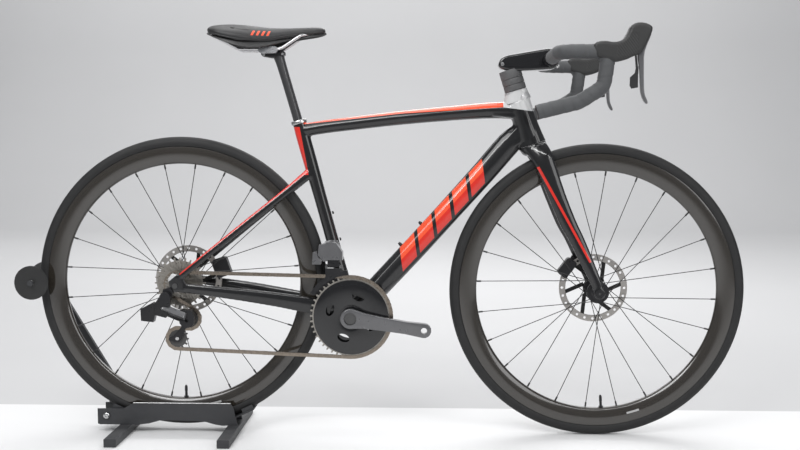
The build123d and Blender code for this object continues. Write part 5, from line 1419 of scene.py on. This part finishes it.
class BICYCLE_OT_cranks(bpy.types.Operator):
    """Crank arms with a sunken outer face, and the cover over the chainring"""
    bl_idname = "bicycle.cranks"
    bl_label = "Cranks and chainring cover"

    def execute(self, context):
        mounts = {mount["name"]: mount for mount in frame["record"]["mounts"]}
        for label, side in SIDES.items():
            pedal = Vector(mounts[f"pedal_thread_{label}"]["pos_m"])
            arm = self.arm(label, side, Vector((pedal.x, 0, pedal.z)))
            place(smooth(arm, 35), "crankset", FINISHES["grey_alloy"],
                  (f"crank_arm_{label}",))
        place(smooth(self.cover()), "crankset", FINISHES["gloss_black"])
        dress("crank_spindle", "axle")
        dress("chainring_spider", "gloss_black", 0.0006)
        dress("outer_chainring", "cassette")
        return {"FINISHED"}

    @staticmethod
    def arm(label, side, pedal):
        centre = Vector((CRANK_AXIS.x, 0, CRANK_AXIS.z))
        run = (pedal - centre).normalized()
        up = Vector((-run.z, 0, run.x))
        length = (pedal - centre).length
        outline = []
        for index in range(9):
            angle = math.radians(90 + 180 * index / 8)
            spot = centre + (run * math.cos(angle) + up * math.sin(angle)) * 0.0228
            outline.append((spot.x, spot.z))
        for share, reach in ((0.18, 0.0175), (0.45, 0.0152), (0.75, 0.0142)):
            spot = centre + run * (length * share) - up * reach
            outline.append((spot.x, spot.z))
        for index in range(9):
            angle = math.radians(-90 + 180 * index / 8)
            spot = pedal + (run * math.cos(angle) + up * math.sin(angle)) * 0.0165
            outline.append((spot.x, spot.z))
        for share, reach in ((0.75, 0.0142), (0.45, 0.0152), (0.18, 0.0175)):
            spot = centre + run * (length * share) + up * reach
            outline.append((spot.x, spot.z))
        low, high = sorted((side * 0.0602, side * 0.0743))
        arm = slab(f"crank_arm_shell_{label}", outline, low, high)
        outer = high if side > 0 else low
        take_up(arm)
        bpy.ops.object.mode_set(mode="EDIT")
        bpy.ops.mesh.select_all(action="DESELECT")
        shape = bmesh.from_edit_mesh(arm.data)
        for face in shape.faces:
            face.select_set(abs(face.calc_center_median().y - outer) < 0.0002 and abs(face.normal.y) > 0.9)
        bmesh.update_edit_mesh(arm.data)
        bpy.ops.mesh.inset(thickness=0.0042, depth=0.0)
        bpy.ops.mesh.inset(thickness=0.0016, depth=-0.0012)
        bpy.ops.object.mode_set(mode="OBJECT")
        eased(arm, 0.0016, 3, 35)
        cut_with(arm, peg("thread", (pedal.x, pedal.z), 0.00705, -0.1, 0.1, 48))
        cut_with(arm, peg("spindle_hole", (centre.x, centre.z), 0.01455, -0.1, 0.1, 64))
        boss_low, boss_high = sorted((side * 0.0442, side * 0.0605))
        boss = turned("boss", centre, [
            (0.0146, boss_low), (0.0205, boss_low), (0.0208, boss_low + 0.0004), (0.0208, boss_high),
            (0.0146, boss_high),
            (0.0146, boss_low),
        ], steps=64, closed=False)
        return joined(f"crank_arm_shell_{label}", [arm, boss])

    @staticmethod
    def cover():
        """Plate between crank and chainring with four windows and a chamfered rim."""
        centre = Vector((CRANK_AXIS.x, 0, CRANK_AXIS.z))
        plate = turned("chainring_cover", centre, [
            (0.0280, -0.0516), (0.0280, -0.0526), (0.034, -0.0532), (0.070, -0.0528), (0.0835, -0.0518),
            (0.0855, -0.0515), (0.0855, -0.0513), (0.0280, -0.0513), (0.0280, -0.0516),
        ], steps=128, closed=False)
        for angle in (70, 160, 250, 340):
            x, z = around(centre, 0.0505, angle)
            cutter = turned("window", Vector((0, 0, 0)), [
                (0.00002, -0.06), (0.0092, -0.06), (0.0092, -0.05), (0.00002, -0.05),
            ], steps=48)
            for vertex in cutter.data.vertices:
                vertex.co.z *= 1.55
            angle_turn = -math.radians(angle)
            for vertex in cutter.data.vertices:
                px, pz = vertex.co.x, vertex.co.z
                vertex.co.x = x + px * math.cos(angle_turn) + pz * math.sin(angle_turn)
                vertex.co.z = z - px * math.sin(angle_turn) + pz * math.cos(angle_turn)
            cut_with(plate, cutter)
        plate.name = "chainring_cover"
        return plate


class BICYCLE_OT_derailleurs(bpy.types.Operator):
    """Finishes of both derailleurs, the cassette and the chain, and the pulley bolts"""
    bl_idname = "bicycle.derailleurs"
    bl_label = "Derailleurs"

    def execute(self, context):
        for node, coat, edge in (
            ("derailleur_upper_knuckle", "black_alloy", 0.0012),
            ("derailleur_outer_link", "grey_alloy", 0.0015),
            ("derailleur_inner_link", "black_alloy", 0.0010),
            ("derailleur_lower_knuckle", "black_alloy", 0.0012),
            ("derailleur_cage", "black_alloy", None), ("front_derailleur_body", "grey_alloy", 0.0014),
            ("front_derailleur_link", "black_alloy", 0.0006),
            ("front_derailleur_cage", "black_alloy", None),
            ("guide_pulley", "pulley", None), ("tension_pulley", "pulley", None),
            ("cassette", "cassette", None),
            ("chain", "chain", None),
        ):
            dress(node, coat, edge)
        bolts = []
        for axle in (GUIDE, TENSION):
            bolts.append(peg("pulley_bolt", (axle.x, axle.z), 0.0042, -0.0592, -0.0578))
        place(smooth(joined("cage_bolts", bolts)), "rear_derailleur_cage", FINISHES["bolt"])
        return {"FINISHED"}


class BICYCLE_OT_brakes(bpy.types.Operator):
    """Finishes of calipers, pads, discs, hubs, spokes and axles, and the front axle's cap"""
    bl_idname = "bicycle.brakes"
    bl_label = "Brakes and hubs"

    def execute(self, context):
        for node, coat, edge in (
            ("front_caliper", "black_alloy", 0.0014), ("rear_caliper", "black_alloy", 0.0014),
            ("front_pad_left", "pad", None), ("front_pad_right", "pad", None),
            ("rear_pad_left", "pad", None),
            ("rear_pad_right", "pad", None), ("front_rotor", "front_rotor", None),
            ("rear_rotor", "rear_rotor", None),
            ("front_hub", "black_alloy", None), ("rear_hub", "black_alloy", None),
            ("front_spokes", "spoke", None),
            ("rear_spokes", "spoke", None), ("front_axle", "axle", None), ("rear_axle", "axle", None),
            ("head_tube", "carbon", None), ("bottom_bracket_shell", "black_alloy", None),
        ):
            dress(node, coat, edge)
        place(smooth(self.axle_cap()), "steering", FINISHES["black_alloy"])
        return {"FINISHED"}

    @staticmethod
    def axle_cap():
        """Washer on the drive side end of the front axle."""
        outer, inner = -0.0635, -0.0623
        return turned("front_axle_cap", FRONT_AXLE, [
            (0.0030, outer), (0.0095, outer), (0.0102, outer - 0.0006), (0.0102, inner), (0.0030, inner),
            (0.0030, outer),
        ], steps=48, closed=False)


# ---------------------------------------------------------------- wheel stand

class BICYCLE_OT_stand(bpy.types.Operator):
    """Powder-coated wheel stand: side plates with a pale steel rod along each top edge as a painted highlight,
    square feet, arm and rollers
    """
    bl_idname = "bicycle.stand"
    bl_label = "Wheel stand"

    def execute(self, context):
        dress("stand_cradle", "stand", 0.0005)
        dress("stand_feet", "stand", 0.0008)
        dress("stand_arm", "stand", 0.0015)
        dress("stand_roller", "roller")
        # Pale steel rods along the top edge of each side plate: a painted edge highlight.
        highlight_rods = []
        for side in SIDES.values():
            y = side * 0.029
            highlight_rods.append(bent_rod("lip", [(-0.576, y, 0.0706), (-0.46, y, 0.0706), (-0.346, y, 0.0706)],
                                 0.00155, 16))
        place(smooth(joined("stand_highlight_rods", highlight_rods)), "frame", FINISHES["painted_edge_highlight"])
        bolt = button_bolt(Vector((-0.639, -0.0333, 0.041)), Vector((0, -1, 0)), 0.0072, 0.004)
        place(smooth(bolt), "frame", FINISHES["bolt"])
        bolt.name = "pivot_bolt"
        hub = button_bolt(Vector((ROLLER.x, -0.0455, ROLLER.z)), Vector((0, -1, 0)), 0.0066, 0.005)
        hub.name = "roller_bolt"
        place(smooth(hub), "stand_arm", FINISHES["bolt"])
        self.roller_beads()
        return {"FINISHED"}

    @staticmethod
    def roller_beads():
        """Round bead near the rim on the outer face of each roller."""
        beads = []
        for side in (-1, 1):
            beads.append(turned("rim_bead", ROLLER, [
                (0.0352, side * 0.0441), (0.0390, side * 0.0441), (0.0390, side * 0.0452),
                (0.0352, side * 0.0452),
                (0.0352, side * 0.0441),
            ], steps=64, closed=False))
        piece = joined("roller_beads", beads)
        place(smooth(piece), "stand_roller", FINISHES["roller"])


# ---------------------------------------------------------------- stage

TABLE_BACK = 0.215
STAGE_REACH = 30.0
WALL_DISTANCE = 7.0
COVE_RADIUS = 1.6


class BICYCLE_OT_stage(bpy.types.Operator):
    """Pale floor and backdrop, soft studio lights and the camera"""
    bl_idname = "bicycle.stage"
    bl_label = "Stage"

    def execute(self, context):
        start_clean()
        bpy.ops.mesh.primitive_plane_add(size=1.0, enter_editmode=True)
        bpy.ops.transform.resize(value=(2 * STAGE_REACH, TABLE_BACK + STAGE_REACH, 1),
                                 center_override=(0, 0, 0))
        bpy.ops.transform.translate(value=(0, (TABLE_BACK - STAGE_REACH) / 2, -0.0004))
        floor = leave_edit("floor")
        cove = [(TABLE_BACK, -0.0008)]
        for step in range(9):
            angle = math.radians(11.25 * step)
            back = WALL_DISTANCE - COVE_RADIUS * (1 - math.sin(angle))
            cove.append((back, COVE_RADIUS * (1 - math.cos(angle)) - 0.0008))
        cove.append((WALL_DISTANCE, 9.0))
        draw_line([(-STAGE_REACH, y, z) for y, z in cove])
        bpy.ops.mesh.select_all(action="SELECT")
        bpy.ops.mesh.extrude_region_move(TRANSFORM_OT_translate={"value": (2 * STAGE_REACH, 0, 0)})
        backdrop = smooth(leave_edit("backdrop"), 60)
        paint = finish("Pale floor paint", (0.86, 0.86, 0.87), 0.6, dust=0.0, mottle=0.03, mottle_scale=2.0)
        wall = finish("Grey backdrop paper", (0.52, 0.52, 0.525), 0.85, dust=0.0, mottle=0.06,
                      mottle_scale=1.2)
        for piece, coat in ((floor, paint), (backdrop, wall)):
            piece.data.materials.append(coat)
        self.light("key", (-1.4, -2.2, 2.8), (0.0, 0.0, 0.4), (2.4, 1.6), 62)
        self.light("strip", (0.2, -1.5, 1.75), (0.0, 0.0, 0.5), (3.2, 0.12), 16)
        self.light("fill", (2.4, -2.0, 1.5), (0.1, 0.0, 0.4), (1.6, 1.6), 22)
        self.light("back", (0.6, 2.6, 2.6), (0.0, 0.0, 0.4), (2.4, 1.6), 40)
        self.light("top", (0.0, 0.2, 3.2), (0.0, 0.0, 0.4), (3.0, 2.0), 48)
        self.light("wall_light", (-0.4, 3.0, 4.6), (-0.4, 6.4, 0.6), (8.0, 2.0), 330)
        context.scene.view_settings.view_transform = "Standard"
        world = bpy.data.worlds.new("Studio")
        context.scene.world = world
        world.use_nodes = True
        world.node_tree.nodes["Background"].inputs["Color"].default_value = (0.92, 0.95, 1.0, 1.0)
        world.node_tree.nodes["Background"].inputs["Strength"].default_value = 0.26
        lens = bpy.data.cameras.new("Camera")
        lens.lens = 45.0
        lens.sensor_width = 36.0
        camera = bpy.data.objects.new("Camera", lens)
        context.scene.collection.objects.link(camera)
        camera.location = (0.130, -2.315, 0.675)
        camera.rotation_euler = (math.radians(85.42), 0.0, math.radians(1.98))
        context.scene.camera = camera
        return {"FINISHED"}

    @staticmethod
    def light(name, spot, target, size, power):
        lamp = bpy.data.lights.new(name, "AREA")
        lamp.shape = "RECTANGLE"
        lamp.size, lamp.size_y = size
        lamp.energy = power
        light = bpy.data.objects.new(name, lamp)
        bpy.context.scene.collection.objects.link(light)
        light.location = spot
        light.visible_camera = False
        aim = Vector(target) - Vector(spot)
        light.rotation_euler = aim.to_track_quat("-Z", "Y").to_euler()


class BICYCLE_OT_finishes(bpy.types.Operator):
    """Node groups that finishes share, and one material for each finish"""
    bl_idname = "bicycle.finishes"
    bl_label = "Finishes"

    def execute(self, context):
        make_groups()
        down_tube_marks()
        make_finishes(context.scene.bicycle_colours)
        return {"FINISHED"}


BUILD_STEPS = (
    BICYCLE_OT_finishes, BICYCLE_OT_frame, BICYCLE_OT_head_fittings, BICYCLE_OT_fork, BICYCLE_OT_seatpost,
    BICYCLE_OT_saddle, BICYCLE_OT_wheels, BICYCLE_OT_bar_tape, BICYCLE_OT_hoods, BICYCLE_OT_levers,
    BICYCLE_OT_stem,
    BICYCLE_OT_cranks, BICYCLE_OT_derailleurs, BICYCLE_OT_brakes, BICYCLE_OT_stand, BICYCLE_OT_stage,
)


class BICYCLE_PT_panel(bpy.types.Panel):
    """Lists the sizes, the colours and the build steps in order"""
    bl_label = "Bicycle"
    bl_idname = "BICYCLE_PT_panel"
    bl_space_type = "VIEW_3D"
    bl_region_type = "UI"
    bl_category = "Bicycle"

    def draw(self, context):
        column = self.layout.column()
        for owner in (context.scene.bicycle_sizes, context.scene.bicycle_colours):
            for key in owner.bl_rna.properties.keys():
                if key not in ("rna_type", "name"):
                    column.prop(owner, key)
        for step in BUILD_STEPS:
            column.operator(step.bl_idname)


CLASSES = (BicycleColours, BicycleSizes, *BUILD_STEPS, BICYCLE_PT_panel)


def register():
    for entry in CLASSES:
        bpy.utils.register_class(entry)
    bpy.types.Scene.bicycle_colours = bpy.props.PointerProperty(type=BicycleColours)
    bpy.types.Scene.bicycle_sizes = bpy.props.PointerProperty(type=BicycleSizes)


def unregister():
    del bpy.types.Scene.bicycle_sizes
    del bpy.types.Scene.bicycle_colours
    for entry in reversed(CLASSES):
        bpy.utils.unregister_class(entry)


def main():
    """Builds everything in order."""
    register()
    for name in ("Cube", "Light", "Camera"):
        if name in bpy.data.objects:
            bpy.data.objects.remove(bpy.data.objects[name])
    for step in BUILD_STEPS:
        group, name = step.bl_idname.split(".")
        getattr(getattr(bpy.ops, group), name)()


if __name__ == "__main__":
    main()
